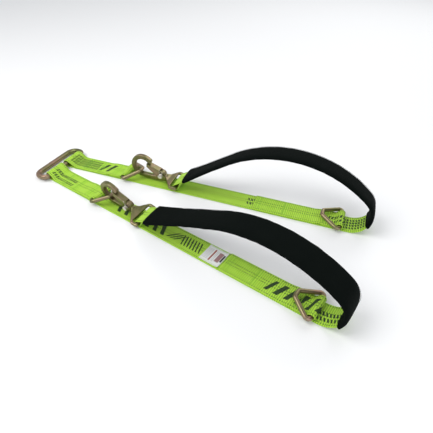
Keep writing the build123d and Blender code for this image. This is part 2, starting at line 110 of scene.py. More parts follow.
def new_material(name, color, rough, metal=0.0):
    material = bpy.data.materials.new(name)
    material.use_nodes = True
    shader(material).inputs["Base Color"].default_value = (*color, 1)
    shader(material).inputs["Roughness"].default_value = rough
    shader(material).inputs["Metallic"].default_value = metal
    return material


FLOOR_HALF = 6.0
FLOOR_DROP = 0.0002
FLOOR_TONE = (0.9, 0.9, 0.9)
SKY_TINT = (0.95, 0.97, 1.0, 1)
SKY_STRENGTH = 0.62
floor_mesh = bpy.data.meshes.new("floor")
floor_mesh.from_pydata([(-FLOOR_HALF, -FLOOR_HALF, 0), (FLOOR_HALF, -FLOOR_HALF, 0),
                        (FLOOR_HALF, FLOOR_HALF, 0), (-FLOOR_HALF, FLOOR_HALF, 0)], [], [(0, 1, 2, 3)])
floor_mesh.transform(Matrix.Translation((0, 0, cad_low.z - FLOOR_DROP)))
floor_mesh.materials.append(new_material("pale_floor", FLOOR_TONE, 0.9))
link_mesh("floor", floor_mesh)

world = bpy.data.worlds.new("studio")
world.use_nodes = True
world.node_tree.nodes["Background"].inputs["Color"].default_value = SKY_TINT
world.node_tree.nodes["Background"].inputs["Strength"].default_value = SKY_STRENGTH
scene.world = world
scene.view_settings.view_transform = "Standard"


def area_light(name, place, size, power):
    data = bpy.data.lights.new(name, "AREA")
    data.size = size
    data.energy = power
    lamp = bpy.data.objects.new(name, data)
    lamp.location = place
    lamp.rotation_euler = (Vector(place) - AIM).to_track_quat("Z", "Y").to_euler()
    scene.collection.objects.link(lamp)


area_light("key_softbox", (-0.9, -0.7, 1.7), 1.3, 22)
area_light("fill_softbox", (1.4, -1.0, 1.3), 1.5, 10)
area_light("rim_softbox", (0.3, 1.8, 1.5), 1.4, 12)

# %% [markdown]
# ## Where each leg lies
# A leg is drawn in its own flat frame: along the leg, across it and up. The joints of the packed
# model say where the shared ring's bar, the two delta rings' bars and the hook's slot bar are, so
# the leg's direction and every distance along it come from them.

# %% Leg frames
def joint(name):
    return next(j for j in frame["joints"] if j["name"] == name)


def joint_place(name):
    return Vector(joint(name)["pos_m"])


class Leg:
    """Start, direction and named places of one leg, read from the joints."""

    def __init__(self, side):
        self.side = side
        ring = joint_place(f"{side}_leg_swing")
        near = joint_place(f"{side}_near_ring_lift")
        far = joint_place(f"{side}_far_ring_flip")
        hook = joint_place(f"{side}_hook_lift")
        self.start = Vector((ring.x, ring.y, 0))
        self.forward = Vector((far.x - near.x, far.y - near.y, 0)).normalized()
        self.across = UP.cross(self.forward)
        self.ring_height = ring.z
        self.bar_height = near.z
        self.slot_height = hook.z
        self.near_at = (near - self.start).dot(self.forward)
        self.far_at = (far - self.start).dot(self.forward)
        self.hook_at = (hook - self.start).dot(self.forward)


LEGS = {side: Leg(side) for side in SIDES}
for leg in LEGS.values():
    print(leg.side, "near bar at", round(leg.near_at, 4), "far bar at", round(leg.far_at, 4),
          "slot bar at", round(leg.hook_at, 4))

# %% [markdown]
# ## The way a strap runs, seen from the side
# A strap is a flat ribbon, so its whole shape is one line seen from the side: straight runs and
# bends, each with a radius. A small pen that can only run and bend makes every fold, eye and loop,
# and the corners can't come out sharp. The lean and the sideways shift are added later, when the
# side line is put into the leg's frame.

# %% Side line
WEB = 0.0508
THICK = 0.0026
GAP = 0.0001
TAIL = 0.040
CURL_PAST_BAR = {"left": 0.017, "right": 0.008}
CURL_AT = {side: leg.far_at + CURL_PAST_BAR[side] for side, leg in LEGS.items()}
CURL_RADIUS = {"left": 0.041, "right": 0.046}
CURL_TURN = {"left": 138.7, "right": 148.0}
ARCH_RADIUS = {"left": 0.258, "right": 0.264}
ARCH_LEAN = {"left": 8.0, "right": 1.0}
HOOK_ROLL = {"left": 0.0, "right": -8.0}
HOOK_SIDE = {"left": 0.002, "right": 0.0025}
TAB_LENGTH = 0.197
EYE_SQUARE_RUN = 0.045
EYE_RADIUS = 0.0088
DELTA_LOOP_RADIUS = 0.0063
SLOT_LOOP_RADIUS = 0.0065
FOLD_SETTLE = 0.005
EYE_SETTLE = 0.010
LAYER_STEP_ANGLE = 10
LAYER_STEP_BACK = 0.004
HOOK_TAIL = 0.030
RUN_STEP = 0.006
LAYER_1 = THICK / 2
LAYER_2 = LAYER_1 + THICK + GAP
LAYER_3 = LAYER_2 + THICK + GAP
LOOP_OPENING = 45.0
EYE_OPENING = 35.0
HOOK_OPENING = 35.0


class SideLine:
    """Points of (along, height, heading in degrees), made by runs and bends."""

    def __init__(self, along, height, heading=0.0):
        self.points = [(along, height, heading)]

    def run(self, length, step=RUN_STEP):
        along, height, heading = self.points[-1]
        turn = math.radians(heading)
        count = max(1, math.ceil(length / step))
        for index in range(1, count + 1):
            gone = length * index / count
            self.points.append((along + gone * math.cos(turn), height + gone * math.sin(turn), heading))

    def run_to(self, along, step=RUN_STEP):
        start, _, heading = self.points[-1]
        self.run((along - start) / math.cos(math.radians(heading)), step)

    def bend(self, angle, radius, step=6.0):
        along, height, heading = self.points[-1]
        side = math.copysign(1.0, angle)
        turn = math.radians(heading)
        centre = (along - side * radius * math.sin(turn), height + side * radius * math.cos(turn))
        arc = math.radians(abs(angle)) * radius
        count = max(1, math.ceil(abs(angle) / step), math.ceil(arc / RUN_STEP))
        for index in range(1, count + 1):
            now = heading + angle * index / count
            turn = math.radians(now)
            self.points.append((centre[0] + side * radius * math.sin(turn),
                                centre[1] - side * radius * math.cos(turn), now))

    def change_level(self, change, angle, radius):
        heading = self.points[-1][2]
        turn = math.copysign(angle, change * math.cos(math.radians(heading)))
        self.bend(turn, radius)
        both = 2 * radius * (1 - math.cos(math.radians(angle)))
        self.run((abs(change) - both) / math.sin(math.radians(angle)))
        self.bend(-turn, radius)


def settle(line, opening, radius, drop):
    """Come off a loop at an angle and lie down again after the given drop."""
    drop -= radius * (1 - math.cos(math.radians(opening)))
    line.run(drop / math.sin(math.radians(opening)))
    line.bend(-opening, radius)


def fold_round_bar(line, bar_at, bar_height):
    """Go round a delta ring's bar from below and lie down on the third layer."""
    line.run_to(bar_at)
    line.bend(180 + LOOP_OPENING, DELTA_LOOP_RADIUS)
    top = bar_height + DELTA_LOOP_RADIUS * math.cos(math.radians(LOOP_OPENING))
    settle(line, LOOP_OPENING, FOLD_SETTLE, top - LAYER_3)


def floor_line(leg):
    """From the fold at the near ring, round the shared ring, to the start of the curl."""
    line = SideLine(leg.near_at - TAIL, LAYER_2)
    fold_round_bar(line, leg.near_at, leg.bar_height)
    line.run_to(leg.near_at - TAIL - LAYER_STEP_BACK)
    line.change_level(LAYER_2 - LAYER_3, LAYER_STEP_ANGLE, FOLD_SETTLE)
    opening = math.radians(EYE_OPENING)
    rise = EYE_RADIUS * (1 + math.cos(opening)) + LAYER_1 - LAYER_2 - EYE_SETTLE * (1 - math.cos(opening))
    slope = rise / math.sin(opening)
    line.run_to((EYE_SETTLE + EYE_RADIUS) * math.sin(opening) + slope * math.cos(opening))
    line.bend(-EYE_OPENING, EYE_SETTLE)
    line.run(slope)
    line.bend(180 + EYE_OPENING, EYE_RADIUS)
    line.run_to(CURL_AT[leg.side])
    return line


def arch_line(leg):
    """Curl, arch and straight run down to the slot bar; the run touches both circles."""
    side = leg.side
    line = SideLine(CURL_AT[side], LAYER_1)
    turn = math.radians(CURL_TURN[side])
    curl, arch = CURL_RADIUS[side], ARCH_RADIUS[side]
    centre_x = CURL_AT[side] + (curl - arch) * math.sin(turn)
    centre_z = LAYER_1 + curl - (curl - arch) * math.cos(turn)
    reach_x, reach_z = leg.hook_at - centre_x, leg.slot_height - centre_z
    inset = SLOT_LOOP_RADIUS - arch
    length = math.sqrt(reach_x ** 2 + reach_z ** 2 - inset ** 2)
    heading = math.degrees(math.atan2(reach_z, reach_x) - math.atan2(inset, length)) % 360
    line.bend(CURL_TURN[side], curl, 4)
    line.bend(heading - CURL_TURN[side], arch, 2)
    line.run(length)
    return line


def end_line(leg, heading, along, height):
    """The sewn end of the strap, round the slot bar and back under itself."""
    line = SideLine(along, height, heading)
    line.bend(180 + HOOK_OPENING, SLOT_LOOP_RADIUS)
    drop = SLOT_LOOP_RADIUS * (1 + math.cos(math.radians(HOOK_OPENING))) - THICK - GAP
    settle(line, HOOK_OPENING, FOLD_SETTLE, drop)
    line.run(HOOK_TAIL)
    return line


print("web layers lie at", [round(level, 4) for level in (LAYER_1, LAYER_2, LAYER_3)])


# %% [markdown]
# ## From the side line to a place
# The arch leans a little sideways and twists back to the hook's own roll. `smooth` blends the lean
# with height, so the floor run stays flat. At the shared ring the strap is square to the ring's bar,
# although the leg runs off at an angle, which is how webbing sits on a bar.

# %% Place points
LEAN_RISE = 0.060
ROLL_FALL = 0.070


def smooth(value):
    """Ease from 0 to 1 without a corner at either end."""
    value = min(1.0, max(0.0, value))
    return value * value * (3 - 2 * value)


def lean_and_shift(leg, along, height):
    """Sideways lean in degrees and shift across the leg, at a height of the arch."""
    side = leg.side
    if along > (leg.hook_at + CURL_AT[side]) / 2:
        return ARCH_LEAN[side] * smooth(height / LEAN_RISE), 0.0
    near = 1 - smooth((height - leg.slot_height) / ROLL_FALL)
    return ARCH_LEAN[side] + (HOOK_ROLL[side] - ARCH_LEAN[side]) * near, HOOK_SIDE[side] * near


def axes_at(leg, point, on_arch):
    """Centre, level direction across the strap and normal of the strap at one side point."""
    along, height, heading = point
    lean, shift = lean_and_shift(leg, along, height) if on_arch else (0.0, 0.0)
    across = leg.across
    if not on_arch and along < EYE_SQUARE_RUN:
        across = Vector((0, 1, 0)).lerp(across, smooth(along / EYE_SQUARE_RUN)).normalized()
    angle = math.radians(lean)
    up = UP * math.cos(angle) + across * math.sin(angle)
    level = across * math.cos(angle) - UP * math.sin(angle)
    centre = leg.start + leg.forward * along + up * height + across * shift
    turn = math.radians(heading)
    return centre, level, up * math.cos(turn) - leg.forward * math.sin(turn)


def line_lengths(points):
    """How far along the line each point lies."""
    gone = [0.0]
    for a, b in zip(points, points[1:]):
        gone.append(gone[-1] + math.hypot(b[0] - a[0], b[1] - a[1]))
    return gone


# %% [markdown]
# ## Skinning a line with a profile
# One function skins any strap, sleeve, ring or wire: it takes a closed ring of points for each
# station and joins neighbours with quads. It also writes a UV map in metres, so a weave is drawn at
# its real size: U runs along the piece and V runs round or across it.

# %% Skin
def skin(name, rings, along, around, closed=False, caps=True):
    """Mesh through rings of points; along and around give U and V in metres."""
    count = len(rings[0])
    mesh = bpy.data.meshes.new(name)
    build = bmesh.new()
    rows = [[build.verts.new(point) for point in ring] for ring in rings]
    layer = build.loops.layers.uv.new("metres")
    last = len(rings) if closed else len(rings) - 1
    for i in range(last):
        for j in range(count):
            following, beside = (i + 1) % len(rings), (j + 1) % count
            face = build.faces.new((rows[i][j], rows[i][beside], rows[following][beside], rows[following][j]))
            u_here, u_next = along[i], along[i + 1]
            v_here, v_next = around[j], around[j + 1]
            corners = ((u_here, v_here), (u_here, v_next), (u_next, v_next), (u_next, v_here))
            for loop, uv in zip(face.loops, corners):
                loop[layer].uv = uv
    if caps and not closed:
        for row, u in ((rows[0], along[0]), (rows[-1], along[-1])):
            face = build.faces.new(row)
            for loop, v in zip(face.loops, around):
                loop[layer].uv = (u, v)
    bmesh.ops.recalc_face_normals(build, faces=build.faces)
    build.to_mesh(mesh)
    build.free()
    mesh.polygons.foreach_set("use_smooth", [True] * len(mesh.polygons))
    return mesh


RIB_PITCH = 0.0042
RIB_DIP = 0.93
SELVEDGE_WAVE = 0.00022
SELVEDGE_FROM = 0.44


def webbing_profile(width, thick):
    """Half round selvedges and a flat middle that is a little thinner just inside them."""
    half, edge = width / 2, thick / 2
    selvedge = ((0.0008, 0.62), (0.0022, 1.0), (0.0046, 0.86), (0.009, 0.9))
    rising = [(-half + inset, edge * height) for inset, height in selvedge]
    rising.append((-half * 0.3, edge * 0.93))
    top = rising + [(-y, z) for y, z in reversed(rising)]
    return [(-half, 0.0)] + top + [(half, 0.0)] + [(y, -z) for y, z in reversed(top)]


def webbing(name, leg, points, arch_from=None):
    """A woven strap along side points; those from arch_from on are on the arch."""
    profile = webbing_profile(WEB, THICK)
    frames = [axes_at(leg, p, arch_from is not None and i >= arch_from) for i, p in enumerate(points)]
    gone = line_lengths(points)
    rings, stations = [], []
    count = int(2 * gone[-1] / RIB_PITCH)
    index = 0
    for step in range(count + 1):
        target = gone[-1] * step / count
        while index < len(gone) - 2 and gone[index + 1] < target:
            index += 1
        share = (target - gone[index]) / (gone[index + 1] - gone[index])
        centre, level, normal = (a.lerp(b, share) for a, b in zip(frames[index], frames[index + 1]))
        swell = 1.0 if step % 2 else RIB_DIP
        wider = SELVEDGE_WAVE if step % 2 else -SELVEDGE_WAVE
        ring = []
        for y, z in profile:
            wave = math.copysign(wider, y) if abs(y) > WEB * SELVEDGE_FROM else 0.0
            ring.append(centre + level * (y + wave) + normal * (z * swell))
        rings.append(ring)
        stations.append(target)
    across = [y for y, _ in profile] + [profile[0][0]]
    return link_mesh(name, skin(name, rings, stations, across))


# %% [markdown]
# ## Finishes
# Shared effects are node groups with named inputs: a weave height, the tracer threads, the printed
# marks and the plating. Each material places them with its own values. The straps of the real thing
# carry a maker's print; here it is replaced by plain slanted bars and short ticks.

# %% Node helpers
def new_group(name, inputs, outputs):
    """Empty shader group with named inputs and outputs, and its two end nodes."""
    group = bpy.data.node_groups.new(name, "ShaderNodeTree")
    for label, value in inputs.items():
        kind = "NodeSocketVector" if value is None else "NodeSocketFloat"
        socket = group.interface.new_socket(label, in_out="INPUT", socket_type=kind)
        if value is not None:
            socket.default_value = value
    for label, kind in outputs.items():
        group.interface.new_socket(label, in_out="OUTPUT", socket_type=kind)
    return group, group.nodes.new("NodeGroupInput"), group.nodes.new("NodeGroupOutput")


def feed(tree, target, source):
    """Link a socket, or set a plain number, on a node's input."""
    if isinstance(source, (int, float)):
        target.default_value = source
    else:
        tree.links.new(source, target)


def math_node(tree, operation, *sources, clamp=False):
    node = tree.nodes.new("ShaderNodeMath")
    node.operation = operation
    node.use_clamp = clamp
    for target, source in zip(node.inputs, sources):
        feed(tree, target, source)
    return node.outputs[0]


def half_wave(tree, value, rate):
    """Rounded ribs: the size of the sine of a value times a rate."""
    turned = math_node(tree, "MULTIPLY", value, rate)
    return math_node(tree, "ABSOLUTE", math_node(tree, "SINE", turned))


def mix_color(tree, factor, first, second):
    node = tree.nodes.new("ShaderNodeMix")
    node.data_type = "RGBA"
    feed(tree, node.inputs["Factor"], factor)
    for socket, value in ((node.inputs[6], first), (node.inputs[7], second)):
        if isinstance(value, tuple):
            socket.default_value = (*value, 1)
        else:
            tree.links.new(value, socket)
    return node.outputs[2]


def noise_value(tree, vector, scale, detail=3.0, rough=0.5):
    node = tree.nodes.new("ShaderNodeTexNoise")
    node.inputs["Scale"].default_value = scale
    node.inputs["Detail"].default_value = detail
    node.inputs["Roughness"].default_value = rough
    tree.links.new(vector, node.inputs["Vector"])
    return node.outputs["Fac"]


def place_group(tree, group, **values):
    node = tree.nodes.new("ShaderNodeGroup")
    node.node_tree = group
    for label, value in values.items():
        feed(tree, node.inputs[label.replace("_", " ")], value)
    return node


def split_uv(tree):
    uv = tree.nodes.new("ShaderNodeUVMap")
    uv.uv_map = "metres"
    split = tree.nodes.new("ShaderNodeSeparateXYZ")
    tree.links.new(uv.outputs[0], split.inputs[0])
    return uv.outputs[0], split.outputs[0], split.outputs[1]


def bump(tree, height, strength, distance, normal=None):
    node = tree.nodes.new("ShaderNodeBump")
    node.inputs["Strength"].default_value = strength
    node.inputs["Distance"].default_value = distance
    tree.links.new(height, node.inputs["Height"])
    if normal is not None:
        tree.links.new(normal, node.inputs["Normal"])
    return node.outputs["Normal"]


# %% Weave group
def make_weave():
    """Twill weave: warp ribs across V, weft steps along U, offset from rib to rib."""
    group, given, result = new_group("woven_twill", {"U": 0.0, "V": 0.0, "Warp": 0.0016, "Weft": 0.0022},
                                     {"Height": "NodeSocketFloat"})
    rib = math_node(group, "DIVIDE", given.outputs["V"], given.outputs["Warp"])
    step = math_node(group, "DIVIDE", given.outputs["U"], given.outputs["Weft"])
    shifted = math_node(group, "ADD", step, math_node(group, "MULTIPLY", math_node(group, "FLOOR", rib), 0.5))
    rib_wave = half_wave(group, rib, math.pi)
    step_wave = half_wave(group, shifted, math.pi)
    height = math_node(group, "MULTIPLY", math_node(group, "POWER", rib_wave, 0.5),
                       math_node(group, "POWER", step_wave, 0.35))
    group.links.new(height, result.inputs["Height"])
    return group


WEAVE = make_weave()

# %% Band, dash and mark groups
def make_dashes():
    """A row of dashes along U at a given V, for tracer threads."""
    group, given, result = new_group(
        "tracer_dashes",
        {"U": 0.0, "V": 0.0, "Row": 0.0, "Half width": 0.0005, "Pitch": 0.003, "Share": 0.55},
        {"Mask": "NodeSocketFloat"})
    off = math_node(group, "ABSOLUTE", math_node(group, "SUBTRACT", given.outputs["V"], given.outputs["Row"]))
    inside = math_node(group, "LESS_THAN", off, given.outputs["Half width"])
    turn = math_node(group, "FRACT", math_node(group, "DIVIDE", given.outputs["U"], given.outputs["Pitch"]))
    on = math_node(group, "LESS_THAN", turn, given.outputs["Share"])
    group.links.new(math_node(group, "MULTIPLY", inside, on), result.inputs["Mask"])
    return group


def make_marks():
    """Slanted bars inside a window that starts at a given U, with a given band of V."""
    group, given, result = new_group(
        "printed_bars", {"U": 0.0, "V": 0.0, "Start": 0.0, "Length": 0.1, "Middle": 0.0, "Half height": 0.012,
                         "Pitch": 0.018, "Share": 0.42, "Slant": 0.5}, {"Mask": "NodeSocketFloat"})
    gone = math_node(group, "SUBTRACT", given.outputs["U"], given.outputs["Start"])
    off = math_node(group, "SUBTRACT", given.outputs["V"], given.outputs["Middle"])
    lean = math_node(group, "ADD", gone, math_node(group, "MULTIPLY", off, given.outputs["Slant"]))
    window = math_node(group, "MULTIPLY", math_node(group, "GREATER_THAN", lean, 0.0),
                       math_node(group, "LESS_THAN", lean, given.outputs["Length"]))
    band = math_node(group, "LESS_THAN", math_node(group, "ABSOLUTE", off), given.outputs["Half height"])
    turn = math_node(group, "FRACT", math_node(group, "DIVIDE", lean, given.outputs["Pitch"]))
    on = math_node(group, "LESS_THAN", turn, given.outputs["Share"])
    mask = math_node(group, "MULTIPLY", math_node(group, "MULTIPLY", window, band), on)
    group.links.new(mask, result.inputs["Mask"])
    return group


DASHES = make_dashes()
MARKS = make_marks()

# %% [markdown]
# ### Webbing
# Polyester tie-down webbing is a tight weave with ribs across the strap. Its colour is darker in the
# grooves between the ribs and between the threads, as painted shade; dark green tracer threads run in
# it near both edges and along the middle, and the print sinks into the weave. The ribs and the
# selvedges are real geometry. The threads are only a bump, because modelling each one would take
# millions of faces.

# %% Webbing material
LIME = (0.47, 0.78, 0.040)
# Painted shade: the dark green that the grooves between the ribs and threads are mixed towards.
LIME_GROOVE_SHADE = (0.085, 0.25, 0.008)
LIME_PALE = (0.56, 0.82, 0.11)
TRACER = (0.018, 0.075, 0.020)
PRINT = (0.006, 0.024, 0.010)
TRACER_PITCH = 0.0054
TRACER_ROWS = ((0.0215, 0.0010), (0.0046, 0.0010), (-0.0022, 0.0010), (-0.0215, 0.0008))


def webbing_material(name, marks):
    material = new_material(name, LIME, 0.72)
    tree, body = material.node_tree, shader(material)
    uv, along, across = split_uv(tree)
    weave = place_group(tree, WEAVE, U=along, V=across).outputs["Height"]
    # Painted shade: the colour is mixed towards the dark groove colour between the ribs and in the low parts
    # of the weave, where shade falls.
    ribs = half_wave(tree, along, math.pi / RIB_PITCH)
    threads = math_node(tree, "ADD", math_node(tree, "MULTIPLY", weave, 0.35), 0.65)
    shade = math_node(tree, "MULTIPLY", math_node(tree, "POWER", ribs, 1.1), threads)
    tone = mix_color(tree, shade, LIME_GROOVE_SHADE, LIME)
    patches = math_node(tree, "MULTIPLY", noise_value(tree, uv, 55.0), 0.5)
    tone = mix_color(tree, patches, tone, LIME_PALE)
    rows = [place_group(tree, DASHES, U=along, V=across, Row=row, Half_width=width,
                        Pitch=TRACER_PITCH).outputs["Mask"] for row, width in TRACER_ROWS]
    tracer = rows[0]
    for row in rows[1:]:
        tracer = math_node(tree, "MAXIMUM", tracer, row)
    tone = mix_color(tree, math_node(tree, "MULTIPLY", tracer, 0.8), tone, TRACER)
    flecks = math_node(tree, "MULTIPLY", noise_value(tree, uv, 900.0), 0.3)
    wear = math_node(tree, "ADD", flecks, 0.8, clamp=True)
    for start, length, middle, height, pitch, share, slant in marks:
        mask = place_group(tree, MARKS, U=along, V=across, Start=start, Length=length, Middle=middle,
                           Half_height=height, Pitch=pitch, Share=share, Slant=slant).outputs["Mask"]
        tone = mix_color(tree, math_node(tree, "MULTIPLY", mask, wear), tone, PRINT)
    tree.links.new(tone, body.inputs["Base Color"])
    rough = math_node(tree, "ADD", math_node(tree, "MULTIPLY", weave, -0.14), 0.78)
    tree.links.new(rough, body.inputs["Roughness"])
    tree.links.new(bump(tree, shade, 0.8, 0.0005), body.inputs["Normal"])
    body.inputs["Sheen Weight"].default_value = 0.06
    body.inputs["Sheen Roughness"].default_value = 0.4
    body.inputs["Specular IOR Level"].default_value = 0.3
    return material


# %% [markdown]
# ## The long straps
# Each leg is one long strap. It is folded round the near delta ring, runs back on top of itself to
# the shared ring, turns round the bar, runs out along the floor, curls up and comes back to the
# hook. It is skinned in one piece, so the fold and the loops are the same cloth.

# %% Print sizes
# Each print is half its height, its pitch, the share of the pitch that is inked, and its slant.
BIG_PRINT = (0.0145, 0.0215, 0.46, 0.45)
TALL_PRINT = (0.0135, 0.0075, 0.42, 0.30)
ROUND_PRINT = (0.0110, 0.0090, 0.50, -0.90)
SMALL_PRINT = (0.0042, 0.0068, 0.55, 0.35)
FINE_PRINT = (0.0033, 0.0062, 0.62, 0.25)
FINE_ROWS = (-0.013, -0.0045, 0.004, 0.0125)
FOLD_TO_BACK_RUN = 0.055


def strap_marks(side, fold, base):
    """Printed windows as start, length and middle, from the fold's end and the shared ring."""
    if side == "right":
        marks = [(fold + 0.058, 0.072, across, *SMALL_PRINT) for across in (-0.013, 0.001)]
        marks.append((base + 0.225, 0.150, 0.0, *BIG_PRINT))
        marks.append((base + 0.385, 0.022, 0.0, *ROUND_PRINT))
        marks.append((base + 0.412, 0.050, 0.0, *TALL_PRINT))
        return marks + [(base + 0.722, 0.120, across, *SMALL_PRINT) for across in (0.0, -0.012)]
    marks = [(fold + 0.052, 0.080, across, *FINE_PRINT) for across in FINE_ROWS]
    marks.append((fold + 0.012, 0.030, 0.0, *BIG_PRINT))
    marks += [(base + 0.480, 0.024, across, *SMALL_PRINT) for across in (0.008, -0.006)]
    return marks + [(base + 0.700, 0.130, across, *FINE_PRINT) for across in FINE_ROWS]


print("windows of print", {side: len(strap_marks(side, 0, 0)) for side in SIDES})

# %% Main straps
for side, leg in LEGS.items():
    line = floor_line(leg)
    arch_from = len(line.points)
    line.points += arch_line(leg).points[1:]
    along, height, heading = line.points[-1]
    line.points += end_line(leg, heading, along, height).points[1:]
    gone = line_lengths(line.points)
    eye = next(i for i, p in enumerate(line.points) if p[2] >= 359.9)
    marks = strap_marks(side, TAIL + FOLD_TO_BACK_RUN, gone[eye])
    strap = webbing(f"{side}_long_strap", leg, line.points, arch_from)
    strap.data.materials.append(webbing_material(f"{side}_lime_webbing", marks))
    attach(strap, f"{side}_leg")
    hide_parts(f"{side}_main_strap")

# %% [markdown]
# ## The far tabs
# A short strap holds each far delta ring. It lies on the long strap, is sewn to it, goes round the
# ring's bar and ends on top of itself. It is skinned like the long strap, so the weave matches.

# %% Far tabs
for side, leg in LEGS.items():
    line = SideLine(leg.far_at - TAIL, LAYER_2)
    fold_round_bar(line, leg.far_at, leg.bar_height)
    line.run_to(leg.far_at - TAIL - LAYER_STEP_BACK)
    line.change_level(LAYER_2 - LAYER_3, LAYER_STEP_ANGLE, FOLD_SETTLE)
    line.run_to(leg.far_at - TAB_LENGTH)
    tab = webbing(f"{side}_far_tab_strap", leg, line.points)
    marks = [(TAIL + 0.004, 0.115, 0.0, *BIG_PRINT)]
    if side == "left":
        marks = [(TAIL + 0.012, 0.040, across, *SMALL_PRINT) for across in (-0.012, 0.002)]
    tab.data.materials.append(webbing_material(f"{side}_lime_tab", marks))
    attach(tab, f"{side}_leg")
    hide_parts(f"{side}_far_tab")

# %% [markdown]
# ## Black wear sleeves
# A wear sleeve is a flat tube of ballistic nylon, sewn shut along one edge and hemmed at both ends.
# Its inner side is a little too long for the curve and gathers in small folds. The folds come from
# noise read at each point's own place along the sleeve, so every run makes the same ones. They are
# moved into the mesh itself, so that the outline shows them too.

# %% Sleeve material
SLEEVE_RIB_PITCH = 0.0042


def sleeve_material():
    material = new_material("black_sleeve_nylon", (0.0020, 0.0036, 0.0030), 0.9)
    tree, body = material.node_tree, shader(material)
    uv, along, across = split_uv(tree)
    weave = place_group(tree, WEAVE, U=along, V=across, Warp=0.0012, Weft=0.0011).outputs["Height"]
    ribs = half_wave(tree, along, math.pi / SLEEVE_RIB_PITCH)
    # Painted highlight: a noise lightens the black cloth in soft patches, standing in for light caught on its
    # wrinkles; the same noise also varies the roughness.
    painted_highlight_noise = math_node(tree, "MULTIPLY", noise_value(tree, uv, 38.0, 5.0), 0.55)
    tone = mix_color(tree, painted_highlight_noise, (0.0010, 0.0022, 0.0017), (0.0062, 0.0085, 0.0074))
    tone = mix_color(tree, math_node(tree, "MULTIPLY", weave, 0.5), tone, (0.0042, 0.0062, 0.0054))
    tree.links.new(tone, body.inputs["Base Color"])
    rough = math_node(tree, "ADD", math_node(tree, "MULTIPLY", painted_highlight_noise, 0.2), 0.72)
    tree.links.new(rough, body.inputs["Roughness"])
    fine = bump(tree, weave, 0.5, 0.00025)
    tree.links.new(bump(tree, ribs, 0.25, 0.0003, fine), body.inputs["Normal"])
    body.inputs["Specular IOR Level"].default_value = 0.03
    return material


SLEEVE = sleeve_material()

# %% Sleeve meshes
SLEEVE_WIDTH = 0.060
SLEEVE_HALF_THICK = 0.0054
SLEEVE_CLOTH = 0.0012
SLEEVE_FROM_TURN = 60.0
SLEEVE_TO_HOOK = 0.028
HEM = 0.014
HEM_SWELL = 0.0004
CREASE = 0.0012
SOFT_WAVE = 0.0006
SLEEVE_PHASE = {"left": 3.0, "right": 11.0}
AROUND = 40


def sleeve_points(leg):
    """The part of the arch line that the sleeve covers, evenly stepped."""
    points = [p for p in arch_line(leg).points if p[2] >= SLEEVE_FROM_TURN]
    gone = line_lengths(points)
    return [p for p, g in zip(points, gone) if g <= gone[-1] - SLEEVE_TO_HOOK + 1e-4]


def sleeve_ring(leg, point, gone, total, phase):
    """One station of the flat tube: thicker at the hems, gathered on its inner side."""
    centre, level, normal = axes_at(leg, point, True)
    from_end = min(gone, total - gone)
    hem = HEM_SWELL * (1 - smooth((from_end - HEM) / 0.002))
    ring = []
    for index in range(AROUND):
        turn = 2 * math.pi * index / AROUND
        c, s = math.cos(turn), math.sin(turn)
        y = math.copysign(abs(c) ** 0.55, c) * SLEEVE_WIDTH / 2
        z = math.copysign(abs(s) ** 0.75, s) * (SLEEVE_HALF_THICK + hem)
        inner = smooth((s - 0.1) / 0.6)
        crease = noise.noise(Vector((gone * 95, y * 16, phase)))
        soft = noise.noise(Vector((gone * 22, y * 9, phase + 7)))
        edge = noise.noise(Vector((gone * 60, 4.0 if c > 0 else 9.0, phase)))
        sideways = y + SOFT_WAVE * soft + CREASE * edge * c
        outwards = z - inner * CREASE * max(0, crease) - SOFT_WAVE * abs(soft) * s
        ring.append(centre + level * sideways + normal * outwards)
    return ring


for side, leg in LEGS.items():
    points = sleeve_points(leg)
    gone = line_lengths(points)
    rings = [sleeve_ring(leg, p, g, gone[-1], SLEEVE_PHASE[side]) for p, g in zip(points, gone)]
    first = rings[0] + rings[0][:1]
    around = [0.0]
    for a, b in zip(first, first[1:]):
        around.append(around[-1] + (b - a).length)
    sleeve = link_mesh(f"{side}_wear_sleeve", skin(f"{side}_wear_sleeve", rings, gone, around, caps=False))
    wall = sleeve.modifiers.new("cloth", "SOLIDIFY")
    wall.thickness = SLEEVE_CLOTH
    wall.offset = -1
    sleeve.data.materials.append(SLEEVE)
    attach(sleeve, f"{side}_leg")
    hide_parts(f"{side}_sleeve")
    print(side, "sleeve length", round(gone[-1], 3), "cut width", round(around[-1], 4))

# %% [markdown]
# ## Plated steel
# Yellow zinc plating is thin and uneven: brown and gold with pink and olive patches, a soft satin
# shine, and brighter metal where edges rub. One noise in object space makes the patches, and a fine
# one makes the grain. The Geometry node's pointiness picks out convex edges for the worn metal.

# %% Plating group and materials
PLATING_STOPS = ((0.30, (0.150, 0.160, 0.062)), (0.44, (0.235, 0.215, 0.100)), (0.55, (0.270, 0.215, 0.125)),
                 (0.68, (0.330, 0.205, 0.150)), (0.80, (0.250, 0.250, 0.130)))
WORN_METAL = (0.55, 0.50, 0.40)


